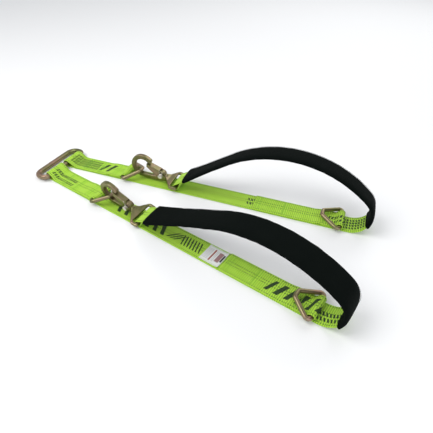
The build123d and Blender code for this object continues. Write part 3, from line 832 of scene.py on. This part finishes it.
def make_plating():
    """Colour, roughness and grain height of yellow zinc plating."""
    group, given, result = new_group(
        "zinc_plating", {"Place": None, "Patch scale": 30.0, "Grain": 900.0},
        {"Color": "NodeSocketColor", "Roughness": "NodeSocketFloat", "Height": "NodeSocketFloat"})
    patch_node = group.nodes.new("ShaderNodeTexNoise")
    patch_node.inputs["Detail"].default_value = 4
    group.links.new(given.outputs["Place"], patch_node.inputs["Vector"])
    group.links.new(given.outputs["Patch scale"], patch_node.inputs["Scale"])
    ramp = group.nodes.new("ShaderNodeValToRGB")
    for element, (position, colour) in zip(ramp.color_ramp.elements, (PLATING_STOPS[0], PLATING_STOPS[-1])):
        element.position = position
        element.color = (*colour, 1)
    for position, colour in PLATING_STOPS[1:-1]:
        ramp.color_ramp.elements.new(position).color = (*colour, 1)
    group.links.new(patch_node.outputs["Fac"], ramp.inputs["Fac"])
    grain = group.nodes.new("ShaderNodeTexNoise")
    grain.inputs["Detail"].default_value = 2
    group.links.new(given.outputs["Place"], grain.inputs["Vector"])
    group.links.new(given.outputs["Grain"], grain.inputs["Scale"])
    geometry = group.nodes.new("ShaderNodeNewGeometry")
    sharp = math_node(group, "SUBTRACT", geometry.outputs["Pointiness"], 0.53)
    worn = math_node(group, "MULTIPLY", sharp, 9.0, clamp=True)
    colour = mix_color(group, worn, ramp.outputs["Color"], WORN_METAL)
    group.links.new(colour, result.inputs["Color"])
    rough = math_node(group, "ADD", math_node(group, "MULTIPLY", patch_node.outputs["Fac"], 0.22),
                      math_node(group, "MULTIPLY", grain.outputs["Fac"], 0.12))
    group.links.new(math_node(group, "ADD", rough, 0.20), result.inputs["Roughness"])
    group.links.new(grain.outputs["Fac"], result.inputs["Height"])
    return group


PLATING = make_plating()


def plated(name, patch_scale, grain, relief):
    material = new_material(name, (0.35, 0.28, 0.14), 0.35, 1.0)
    tree, body = material.node_tree, shader(material)
    coords = tree.nodes.new("ShaderNodeTexCoord")
    finish = place_group(tree, PLATING, Place=coords.outputs["Object"], Patch_scale=patch_scale, Grain=grain)
    tree.links.new(finish.outputs["Color"], body.inputs["Base Color"])
    tree.links.new(finish.outputs["Roughness"], body.inputs["Roughness"])
    tree.links.new(bump(tree, finish.outputs["Height"], 0.35, relief), body.inputs["Normal"])
    return material


FORGED = plated("forged_zinc_plate", 34.0, 700.0, 0.00022)
BAR_STEEL = plated("bar_zinc_plate", 24.0, 1100.0, 0.00010)
SHEET_STEEL = plated("sheet_zinc_plate", 48.0, 1600.0, 0.00006)


def bright_steel():
    material = new_material("bright_wire", (0.60, 0.57, 0.50), 0.28, 1.0)
    tree, body = material.node_tree, shader(material)
    coords = tree.nodes.new("ShaderNodeTexCoord")
    fleck = noise_value(tree, coords.outputs["Object"], 1400.0, 2.0)
    rough = math_node(tree, "ADD", math_node(tree, "MULTIPLY", fleck, 0.3), 0.18)
    tree.links.new(rough, body.inputs["Roughness"])
    tree.links.new(mix_color(tree, fleck, (0.52, 0.48, 0.38), (0.70, 0.68, 0.62)), body.inputs["Base Color"])
    return material


BRIGHT = bright_steel()
print("steel finishes", [finish.name for finish in (FORGED, BAR_STEEL, SHEET_STEEL, BRIGHT)])

# %% [markdown]
# ## Rings bent from round bar
# The shared ring and the delta rings are bent from bar and butt-welded. Each is a tube skinned along
# a polygon with rounded corners. A weld bead swells the tube where the ends meet: on the far side of
# the shared ring it shows, and on the delta rings it hides inside the webbing fold.

# %% Ring builder
WELD_SWELL = 0.00045
WELD_REACH = 0.0028
HAMMERING = 0.00012


def rounded_loop(corners, radii, step=0.0025):
    """Evenly stepped points along a closed polygon whose corners are arcs."""
    points = []
    count = len(corners)
    for index, (corner, radius) in enumerate(zip(corners, radii)):
        here = Vector(corner)
        before = (Vector(corners[index - 1]) - here).normalized()
        after = (Vector(corners[(index + 1) % count]) - here).normalized()
        half = before.angle(after) / 2
        reach = radius / math.tan(half)
        centre = here + (before + after).normalized() * radius / math.sin(half)
        start, end = here + before * reach - centre, here + after * reach - centre
        sweep = start.angle(end)
        arcs = max(6, math.ceil(sweep * radius / step))
        for k in range(arcs + 1):
            share = sweep * k / arcs
            turned = start * math.sin(sweep - share) + end * math.sin(share)
            points.append(centre + turned / math.sin(sweep))
    filled = []
    for a, b in zip(points, points[1:] + points[:1]):
        pieces = max(1, math.ceil((b - a).length / step))
        filled += [a.lerp(b, k / pieces) for k in range(pieces)]
    return filled


def bar_ring(name, corners, radii, radius, weld, matrix, around=22):
    """Closed tube of round bar in the XY plane, moved into place by the matrix."""
    path = rounded_loop(corners, radii)
    rings = []
    gone = [0.0]
    for index, point in enumerate(path):
        ahead, behind = path[(index + 1) % len(path)], path[index - 1]
        tangent = (ahead - behind).normalized()
        side = Vector((tangent.y, -tangent.x, 0))
        bead = WELD_SWELL * math.exp(-((point - Vector(weld)).length / WELD_REACH) ** 2)
        hammered = HAMMERING * noise.noise(point * 140)
        size = radius + bead + hammered
        rings.append([matrix @ (point + side * (size * math.cos(a)) + UP * (size * math.sin(a)))
                      for a in (2 * math.pi * k / around for k in range(around))])
        gone.append(gone[-1] + (ahead - point).length)
    turns = [2 * math.pi * radius * k / around for k in range(around + 1)]
    return link_mesh(name, skin(name, rings, gone, turns, closed=True))


def axes_matrix(origin, x_dir, z_dir):
    """Matrix of a frame given by its origin, X and Z."""
    y_dir = z_dir.cross(x_dir)
    rotation = Matrix((x_dir, y_dir, z_dir)).transposed().to_4x4()
    return Matrix.Translation(origin) @ rotation


# %% Shared ring
APEX_BAR_RADIUS = 0.0065
APEX_DEPTH = 0.037
APEX_BAR_CORNER = 0.0105
APEX_FAR_CORNER = 0.019
APEX_WELD = (APEX_DEPTH, 0.012, 0)
ring_low, ring_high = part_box("apex_ring")
apex_bar = LEGS["left"].ring_height
ring_middle = (ring_low.y + ring_high.y) / 2
ring_half = (ring_high.y - ring_low.y) / 2 - APEX_BAR_RADIUS
tilt = math.asin((apex_bar - APEX_BAR_RADIUS) / APEX_DEPTH)
out = Vector((-math.cos(tilt), 0, -math.sin(tilt)))
facing = Vector((-math.sin(tilt), 0, math.cos(tilt)))
matrix = axes_matrix(Vector((LEGS["left"].start.x, ring_middle, apex_bar)), out, facing)
apex_corners = ((0, -ring_half, 0), (APEX_DEPTH, -ring_half, 0),
                (APEX_DEPTH, ring_half, 0), (0, ring_half, 0))
apex_radii = (APEX_BAR_CORNER, APEX_FAR_CORNER, APEX_FAR_CORNER, APEX_BAR_CORNER)
ring = bar_ring("shared_ring_bar", apex_corners, apex_radii, APEX_BAR_RADIUS, APEX_WELD, matrix, 28)
ring.data.materials.append(BAR_STEEL)
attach(ring, "shared_ring")
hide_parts("apex_ring")
print("shared ring box", [round(v, 4) for v in ring_high - ring_low])

# %% Delta rings
DELTA_BAR_RADIUS = 0.0045
DELTA_HEIGHT = 0.042
DELTA_BASE_HALF = 0.038
DELTA_TIP_HALF = 0.008
DELTA_CORNERS = ((0, -DELTA_BASE_HALF, 0), (DELTA_HEIGHT, -DELTA_TIP_HALF, 0),
                 (DELTA_HEIGHT, DELTA_TIP_HALF, 0), (0, DELTA_BASE_HALF, 0))
DELTA_RADII = (0.006, 0.0065, 0.0065, 0.006)
DELTA_TILT = {"near": math.radians(21.25), "far": math.radians(12.0)}

for side, leg in LEGS.items():
    for which, bar_at, sign in (("near", leg.near_at, 1), ("far", leg.far_at, -1)):
        tilt = DELTA_TILT[which]
        point_dir = leg.forward * (sign * math.cos(tilt)) + UP * math.sin(tilt)
        normal = UP * math.cos(tilt) - leg.forward * (sign * math.sin(tilt))
        origin = leg.start + leg.forward * bar_at + UP * leg.bar_height
        ring = bar_ring(f"{side}_{which}_delta_bar", DELTA_CORNERS, DELTA_RADII, DELTA_BAR_RADIUS, (0, 0, 0),
                        axes_matrix(origin, point_dir, normal))
        ring.data.materials.append(BAR_STEEL)
        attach(ring, f"{side}_{which}_ring_body")
        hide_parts(f"{side}_{which}_ring")
        print(side, which, "ring faces", len(ring.data.polygons))

# %% [markdown]
# ## Forged hooks and their gates
# A drop forging has no sharp corners: every web blends into the next. The CAD solid has the right
# shape but crisp joins, so a copy is remeshed into even voxels and relaxed, which melts the joins
# into forging radii. The gate is pressed sheet: the same recipe with smaller voxels rounds its folds.

# %% Soften a CAD piece
SAME_POINT = 0.000005
FORGING_VOXEL = 0.0007
LATCH_VOXEL = 0.0004


def softened(name, node, voxel, rounds):
    """A copy of a CAD node with its joins rounded, as a plain mesh."""
    mesh = frame["nodes"][node].data.copy()
    build = bmesh.new()
    build.from_mesh(mesh)
    bmesh.ops.remove_doubles(build, verts=build.verts, dist=SAME_POINT)
    build.to_mesh(mesh)
    build.free()
    mesh.materials.clear()
    rough = link_mesh(name, mesh)
    remesh = rough.modifiers.new("voxels", "REMESH")
    remesh.mode = "VOXEL"
    remesh.voxel_size = voxel
    relax = rough.modifiers.new("relax", "SMOOTH")
    relax.factor = 0.5
    relax.iterations = rounds
    graph = bpy.context.evaluated_depsgraph_get()
    result = bpy.data.meshes.new_from_object(rough.evaluated_get(graph))
    rough.modifiers.clear()
    rough.data = result
    result.polygons.foreach_set("use_smooth", [True] * len(result.polygons))
    return rough


for side in SIDES:
    forging = softened(f"{side}_hook_forging", f"{side}_hook_body", FORGING_VOXEL, 5)
    forging.data.materials.append(FORGED)
    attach(forging, f"{side}_hook")
    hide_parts(f"{side}_hook_body")
    latch = softened(f"{side}_hook_latch", f"{side}_hook_gate", LATCH_VOXEL, 3)
    latch.data.materials.append(SHEET_STEEL)
    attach(latch, f"{side}_gate")
    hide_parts(f"{side}_hook_gate")
    print(side, "forging faces", len(forging.data.polygons), "latch faces", len(latch.data.polygons))

# %% [markdown]
# ## Rivets and springs
# The rivet is a turned shape: a shank with two domed heads. The torsion spring is round wire wound
# three and a half times round the long end of the rivet, with two straight legs. Both are placed in
# the hook's own frame, which the slot bar's joint and the gate's joint fix together.

# %% Hook frame, rivet and spring
PIVOT_OUT = 0.046
PIVOT_UP = 0.008
GATE_SIDE = 0.0072
SPRING_WIRE = 0.0007
SPRING_COIL = 0.0050
SPRING_PITCH = 0.0016
SPRING_TURNS = 3.5
SPRING_LEG = 0.016
RIVET_SHANK = 0.0030
RIVET_HEAD = 0.0054


def hook_frame(side):
    """Matrix at the gate's pivot: X towards the bowl, Y along the rivet, Z towards the gate."""
    pivot, slot_bar = joint_place(f"{side}_gate_press"), joint_place(f"{side}_hook_lift")
    y_dir = Vector(joint(f"{side}_gate_press")["axis"]).normalized()
    offset = pivot - slot_bar
    turned = y_dir.cross(offset)
    x_dir = (offset * PIVOT_OUT + turned * PIVOT_UP).normalized()
    return axes_matrix(pivot, x_dir, x_dir.cross(y_dir).normalized())


def tube(name, points, radius, matrix, around=12):
    """Round wire through the points, with closed ends."""
    rings, gone = [], line_gone(points)
    normal = Vector((0, 1, 0))
    for index, point in enumerate(points):
        ahead, behind = points[min(index + 1, len(points) - 1)], points[max(index - 1, 0)]
        tangent = (ahead - behind).normalized()
        normal = (normal - tangent * normal.dot(tangent)).normalized()
        other = tangent.cross(normal)
        rings.append([matrix @ (point + normal * (radius * math.cos(a)) + other * (radius * math.sin(a)))
                      for a in (2 * math.pi * k / around for k in range(around))])
    turns = [2 * math.pi * radius * k / around for k in range(around + 1)]
    return link_mesh(name, skin(name, rings, gone, turns))


def line_gone(points):
    gone = [0.0]
    for a, b in zip(points, points[1:]):
        gone.append(gone[-1] + (b - a).length)
    return gone


def spring_points():
    """Wire of the torsion spring about Y: a leg, the coil and a second leg."""
    base = GATE_SIDE + 0.0004 + SPRING_WIRE
    coil = []
    steps = int(SPRING_TURNS * 28)
    for k in range(steps + 1):
        turn = 2 * math.pi * SPRING_TURNS * k / steps
        coil.append(Vector((SPRING_COIL * math.cos(turn), base + SPRING_PITCH * SPRING_TURNS * k / steps,
                            -SPRING_COIL * math.sin(turn))))
    first = [coil[0] + Vector((0, 0, 1)) * (SPRING_LEG * k / 6) for k in range(6, 0, -1)]
    last = [coil[-1] + Vector((0, 0, 1)) * (SPRING_LEG * k / 6) for k in range(1, 7)]
    return first + coil + last


def lathe(name, profile, matrix, around=28):
    """Turned solid about Y; the profile is (radius, along) from one end to the other."""
    rings = []
    for radius, along in profile:
        rings.append([matrix @ Vector((radius * math.cos(a), along, radius * math.sin(a)))
                      for a in (2 * math.pi * k / around for k in range(around))])
    gone = [along for _, along in profile]
    turns = [RIVET_SHANK * 2 * math.pi * k / around for k in range(around + 1)]
    return link_mesh(name, skin(name, rings, gone, turns))


rivet_low = -GATE_SIDE - 0.0002
rivet_high = GATE_SIDE + 0.0008 + SPRING_TURNS * SPRING_PITCH + 2 * SPRING_WIRE
rivet_profile = [(0.0006, rivet_low - 0.0018), (0.0030, rivet_low - 0.0017), (0.0046, rivet_low - 0.0011),
                 (RIVET_HEAD, rivet_low - 0.0003), (RIVET_HEAD - 0.0002, rivet_low),
                 (RIVET_SHANK, rivet_low + 0.0001),
                 (RIVET_SHANK, rivet_high - 0.0001), (RIVET_HEAD + 0.0006, rivet_high),
                 (RIVET_HEAD + 0.0008, rivet_high + 0.0003), (0.0050, rivet_high + 0.0012),
                 (0.0032, rivet_high + 0.0017), (0.0006, rivet_high + 0.0018)]

for side in SIDES:
    matrix = hook_frame(side)
    spring = tube(f"{side}_torsion_spring", spring_points(), SPRING_WIRE, matrix)
    spring.data.materials.append(BRIGHT)
    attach(spring, f"{side}_hook")
    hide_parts(f"{side}_gate_spring")
    rivet = lathe(f"{side}_domed_rivet", rivet_profile, matrix)
    rivet.data.materials.append(BRIGHT)
    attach(rivet, f"{side}_hook")
    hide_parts(f"{side}_gate_rivet")
    print(side, "spring faces", len(spring.data.polygons), "rivet faces", len(rivet.data.polygons))

# %% [markdown]
# ## Sewing, made with Geometry Nodes
# Sewing is one small thing repeated: a short lump of thread on each step of a path. The path is a
# mesh of edges, drawn below as zigzag bar tacks and long rows. The node tree turns each edge into a
# point that knows its direction and length, puts a squashed ball of thread on it, and realizes them.

# %% Stitch tree
def stitch_tree():
    tree = bpy.data.node_groups.new("thread_on_edges", "GeometryNodeTree")
    tree.interface.new_socket("Geometry", in_out="INPUT", socket_type="NodeSocketGeometry")
    width = tree.interface.new_socket("Thread radius", in_out="INPUT", socket_type="NodeSocketFloat")
    finish = tree.interface.new_socket("Finish", in_out="INPUT", socket_type="NodeSocketMaterial")
    tree.interface.new_socket("Geometry", in_out="OUTPUT", socket_type="NodeSocketGeometry")
    given, result = tree.nodes.new("NodeGroupInput"), tree.nodes.new("NodeGroupOutput")

    def add(kind, **settings):
        node = tree.nodes.new(kind)
        for label, value in settings.items():
            setattr(node, label, value)
        return node

    ends = add("GeometryNodeInputMeshEdgeVertices")
    along = add("ShaderNodeVectorMath", operation="SUBTRACT")
    tree.links.new(ends.outputs["Position 2"], along.inputs[0])
    tree.links.new(ends.outputs["Position 1"], along.inputs[1])
    capture = add("GeometryNodeCaptureAttribute", domain="EDGE")
    capture.capture_items.new("VECTOR", "Along")
    tree.links.new(given.outputs["Geometry"], capture.inputs["Geometry"])
    tree.links.new(along.outputs[0], capture.inputs["Along"])
    points = add("GeometryNodeMeshToPoints", mode="EDGES")
    tree.links.new(capture.outputs["Geometry"], points.inputs["Mesh"])
    ball = add("GeometryNodeMeshUVSphere")
    ball.inputs["Segments"].default_value = 6
    ball.inputs["Rings"].default_value = 4
    ball.inputs["Radius"].default_value = 1.0
    turn = add("FunctionNodeAlignRotationToVector", axis="Z")
    tree.links.new(capture.outputs["Along"], turn.inputs["Vector"])
    length = add("ShaderNodeVectorMath", operation="LENGTH")
    tree.links.new(capture.outputs["Along"], length.inputs[0])
    half = add("ShaderNodeMath", operation="MULTIPLY")
    half.inputs[1].default_value = 0.56
    tree.links.new(length.outputs["Value"], half.inputs[0])
    size = add("ShaderNodeCombineXYZ")
    for socket in ("X", "Y"):
        tree.links.new(given.outputs["Thread radius"], size.inputs[socket])
    tree.links.new(half.outputs[0], size.inputs["Z"])
    place = add("GeometryNodeInstanceOnPoints")
    tree.links.new(points.outputs["Points"], place.inputs["Points"])
    tree.links.new(ball.outputs["Mesh"], place.inputs["Instance"])
    tree.links.new(turn.outputs["Rotation"], place.inputs["Rotation"])
    tree.links.new(size.outputs["Vector"], place.inputs["Scale"])
    real = add("GeometryNodeRealizeInstances")
    tree.links.new(place.outputs["Instances"], real.inputs["Geometry"])
    smooth_faces = add("GeometryNodeSetShadeSmooth")
    tree.links.new(real.outputs["Geometry"], smooth_faces.inputs["Geometry"])
    paint = add("GeometryNodeSetMaterial")
    tree.links.new(smooth_faces.outputs["Geometry"], paint.inputs["Geometry"])
    tree.links.new(given.outputs["Finish"], paint.inputs["Material"])
    tree.links.new(paint.outputs["Geometry"], result.inputs["Geometry"])
    return tree, width.identifier, finish.identifier


STITCHES, THREAD_SOCKET, FINISH_SOCKET = stitch_tree()
print("stitch tree nodes", len(STITCHES.nodes))


def sew(name, rows, radius, material):
    """A plain mesh of stitches along rows of points."""
    mesh = bpy.data.meshes.new(name)
    verts, edges = [], []
    for row in rows:
        first = len(verts)
        verts += [tuple(point) for point in row]
        edges += [(first + k, first + k + 1) for k in range(len(row) - 1)]
    mesh.from_pydata(verts, edges, [])
    piece = link_mesh(name, mesh)
    modifier = piece.modifiers.new("stitches", "NODES")
    modifier.node_group = STITCHES
    modifier[THREAD_SOCKET] = radius
    modifier[FINISH_SOCKET] = material
    graph = bpy.context.evaluated_depsgraph_get()
    result = bpy.data.meshes.new_from_object(piece.evaluated_get(graph))
    piece.modifiers.clear()
    piece.data = result
    return piece


# %% Rows of stitches
def thread_material(name, dark, light):
    material = new_material(name, light, 0.6)
    tree, body = material.node_tree, shader(material)
    coords = tree.nodes.new("ShaderNodeTexCoord")
    strands = noise_value(tree, coords.outputs["Object"], 1800.0, 2.0)
    tree.links.new(mix_color(tree, strands, dark, light), body.inputs["Base Color"])
    tree.links.new(bump(tree, strands, 0.4, 0.0001), body.inputs["Normal"])
    return material


LIME_THREAD = thread_material("lime_thread", (0.16, 0.42, 0.02), (0.40, 0.74, 0.06))
BLACK_THREAD = thread_material("black_thread", (0.004, 0.005, 0.005), (0.022, 0.024, 0.024))
TACK_HALF = 0.021
TACK_PITCH = 0.0011
TACK_SWING = 0.0022


def on_leg(leg, along, across, height):
    return leg.start + leg.forward * along + leg.across * across + UP * height


def tack(leg, along, height):
    """Zigzag bar tack across the strap."""
    count = int(2 * TACK_HALF / TACK_PITCH)
    return [on_leg(leg, along + TACK_SWING * (0.5 if k % 2 else -0.5), -TACK_HALF + TACK_PITCH * k, height)
            for k in range(count + 1)]


def long_row(leg, start, end, across, height, pitch=0.0034):
    count = max(1, int(abs(end - start) / pitch))
    return [on_leg(leg, start + (end - start) * k / count, across, height) for k in range(count + 1)]


ON_TWO = LAYER_2 + THICK / 2
ON_THREE = LAYER_3 + THICK / 2
EYE_TACKS = (0.046, 0.052, 0.088, 0.094)
TAB_TACKS = (0.008, 0.014, 0.070, 0.076)
LONG_ROWS = (-0.0185, -0.0065, 0.0065, 0.0185)
STRAP_THREAD = 0.00042
for side, leg in LEGS.items():
    rows = []
    fold_end, tab_end = leg.near_at - TAIL, leg.far_at - TAIL
    tab_start = leg.far_at - TAB_LENGTH
    for along in EYE_TACKS + tuple(tab_start + back for back in TAB_TACKS):
        rows.append(tack(leg, along, ON_TWO))
    for along in (fold_end + 0.006, fold_end + 0.012, tab_end + 0.004, tab_end + 0.010):
        rows.append(tack(leg, along, ON_THREE))
    for across in LONG_ROWS:
        rows.append(long_row(leg, EYE_TACKS[1], EYE_TACKS[2], across, ON_TWO))
        rows.append(long_row(leg, tab_start + TAB_TACKS[1], tab_start + TAB_TACKS[2], across, ON_TWO))
    sewing = sew(f"{side}_sewing", rows, STRAP_THREAD, LIME_THREAD)
    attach(sewing, f"{side}_leg")
    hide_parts(f"{side}_seams")
    print(side, "sewing faces", len(sewing.data.polygons))

# %% [markdown]
# ## The sleeve's seam
# The flat tube is closed by one row of black thread near its edge. The row follows the sleeve's own
# stations, stepped evenly, so the same stitch tree makes it.

# %% Sleeve sewing
SLEEVE_STITCH = 0.0045
SLEEVE_SEAM_ACROSS = 0.0262
SLEEVE_SEAM_OUT = -0.0047
SLEEVE_THREAD = 0.00038


def sleeve_row(leg, points, across, out):
    """A row of points at one place across the sleeve and one height off its middle."""
    row = []
    for point in points:
        centre, level, normal = axes_at(leg, point, True)
        row.append(centre + level * across + normal * out)
    return row


for side, leg in LEGS.items():
    points = sleeve_points(leg)
    gone = line_lengths(points)
    steps = int(gone[-1] / SLEEVE_STITCH)
    even = []
    for k in range(steps + 1):
        target = gone[-1] * k / steps
        i = min(next(n for n, g in enumerate(gone) if g >= target - 1e-9), len(points) - 1)
        j = max(i - 1, 0)
        share = 0 if gone[i] == gone[j] else (target - gone[j]) / (gone[i] - gone[j])
        even.append(tuple(a + (b - a) * share for a, b in zip(points[j], points[i])))
    rows = [sleeve_row(leg, even, SLEEVE_SEAM_ACROSS, SLEEVE_SEAM_OUT)]
    sewing = sew(f"{side}_sleeve_sewing", rows, SLEEVE_THREAD, BLACK_THREAD)
    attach(sewing, f"{side}_leg")
    print(side, "sleeve stitches", steps)

# %% [markdown]
# ## The label
# A coated cloth tag is sewn flat on the right leg. Its print is replaced by plain blocks of colour:
# a red band, a pink block and a dark corner, at the places where the real tag has its panels. The
# cloth is a grid with slightly lifted corners, so it catches light as a separate piece.

# %% Label
LABEL_LENGTH = 0.046
LABEL_WIDTH = 0.044
LABEL_CLOTH = 0.0003
LABEL_LIFT = 0.0003
CORNER_LIFT = 0.0012
LABEL_BLOCKS = (((0.0175, 0.0210, 0.006, 0.038), (0.30, 0.07, 0.045)),
                ((0.0300, 0.0395, 0.010, 0.036), (0.30, 0.16, 0.16)),
                ((0.0405, 0.0445, 0.014, 0.034), (0.025, 0.03, 0.03)))


def block_mask(tree, u, v, u_low, u_high, v_low, v_high):
    """1 inside a rectangle of the label's own UV map and 0 outside it."""
    parts = [math_node(tree, "GREATER_THAN", u, u_low), math_node(tree, "LESS_THAN", u, u_high),
             math_node(tree, "GREATER_THAN", v, v_low), math_node(tree, "LESS_THAN", v, v_high)]
    mask = parts[0]
    for part in parts[1:]:
        mask = math_node(tree, "MULTIPLY", mask, part)
    return mask


def label_material():
    material = new_material("white_label_cloth", (0.8, 0.8, 0.78), 0.5)
    tree, body = material.node_tree, shader(material)
    uv, u, v = split_uv(tree)
    weave = place_group(tree, WEAVE, U=u, V=v, Warp=0.0005, Weft=0.0005).outputs["Height"]
    tone = mix_color(tree, math_node(tree, "MULTIPLY", noise_value(tree, uv, 120.0), 0.4), (0.78, 0.79, 0.77),
                     (0.60, 0.61, 0.60))
    for (u_low, u_high, v_low, v_high), colour in LABEL_BLOCKS:
        tone = mix_color(tree, block_mask(tree, u, v, u_low, u_high, v_low, v_high), tone, colour)
    for start, length in ((0.003, 0.012), (0.0225, 0.006)):
        mask = place_group(tree, MARKS, U=v, V=u, Start=0.008, Length=0.028, Middle=start + length / 2,
                           Half_height=length / 2, Pitch=0.0034, Share=0.35, Slant=0.0).outputs["Mask"]
        tone = mix_color(tree, math_node(tree, "MULTIPLY", mask, 0.5), tone, (0.12, 0.12, 0.12))
    tree.links.new(tone, body.inputs["Base Color"])
    rough = math_node(tree, "ADD", math_node(tree, "MULTIPLY", weave, 0.2), 0.4)
    tree.links.new(rough, body.inputs["Roughness"])
    tree.links.new(bump(tree, weave, 0.3, 0.00008), body.inputs["Normal"])
    return material


def label_mesh(leg, start, cells=22):
    """A grid lying on the strap with its corners lifted by a fraction of a millimetre."""
    mesh = bpy.data.meshes.new("sewn_label")
    build = bmesh.new()
    layer = build.loops.layers.uv.new("metres")
    grid = []
    for i in range(cells + 1):
        row = []
        for j in range(cells + 1):
            u, v = LABEL_LENGTH * i / cells, LABEL_WIDTH * j / cells
            edge = abs(2 * i / cells - 1) ** 6 * abs(2 * j / cells - 1) ** 6
            ripple = 0.00012 * noise.noise(Vector((u * 120, v * 90, 1)))
            height = THICK + LABEL_LIFT + CORNER_LIFT * edge + ripple
            row.append((build.verts.new(on_leg(leg, start + u, v - LABEL_WIDTH / 2, height)), (u, v)))
        grid.append(row)
    for i in range(cells):
        for j in range(cells):
            corners = (grid[i][j], grid[i + 1][j], grid[i + 1][j + 1], grid[i][j + 1])
            face = build.faces.new([c[0] for c in corners])
            for loop, corner in zip(face.loops, corners):
                loop[layer].uv = corner[1]
    build.to_mesh(mesh)
    build.free()
    mesh.polygons.foreach_set("use_smooth", [True] * len(mesh.polygons))
    return mesh


leg = LEGS["right"]
label_low, label_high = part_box("right_label")
label_middle = (label_low + label_high) / 2
label_start = (label_middle - leg.start).dot(leg.forward) - LABEL_LENGTH / 2
label = link_mesh("sewn_label", label_mesh(leg, label_start))
thickness = label.modifiers.new("cloth", "SOLIDIFY")
thickness.thickness = LABEL_CLOTH
thickness.offset = 1
label.data.materials.append(label_material())
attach(label, "right_leg")
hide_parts("right_label")

# %% Label sewing
LABEL_SEAM_END = 0.003
LABEL_SEAM_EDGE = 0.002
LABEL_STITCH = 0.0026
LABEL_SEAM_HEIGHT = THICK + 0.0009
LABEL_THREAD = 0.0003

row_start = label_start + LABEL_SEAM_END
row_end = label_start + LABEL_LENGTH - LABEL_SEAM_END
rows = [long_row(leg, row_start, row_end, across, LABEL_SEAM_HEIGHT, LABEL_STITCH)
        for across in (-LABEL_WIDTH / 2 + LABEL_SEAM_EDGE, LABEL_WIDTH / 2 - LABEL_SEAM_EDGE)]
label_sewing = sew("label_sewing", rows, LABEL_THREAD, LIME_THREAD)
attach(label_sewing, "right_leg")
print("label rows", len(rows), "stitches in each", len(rows[0]) - 1)
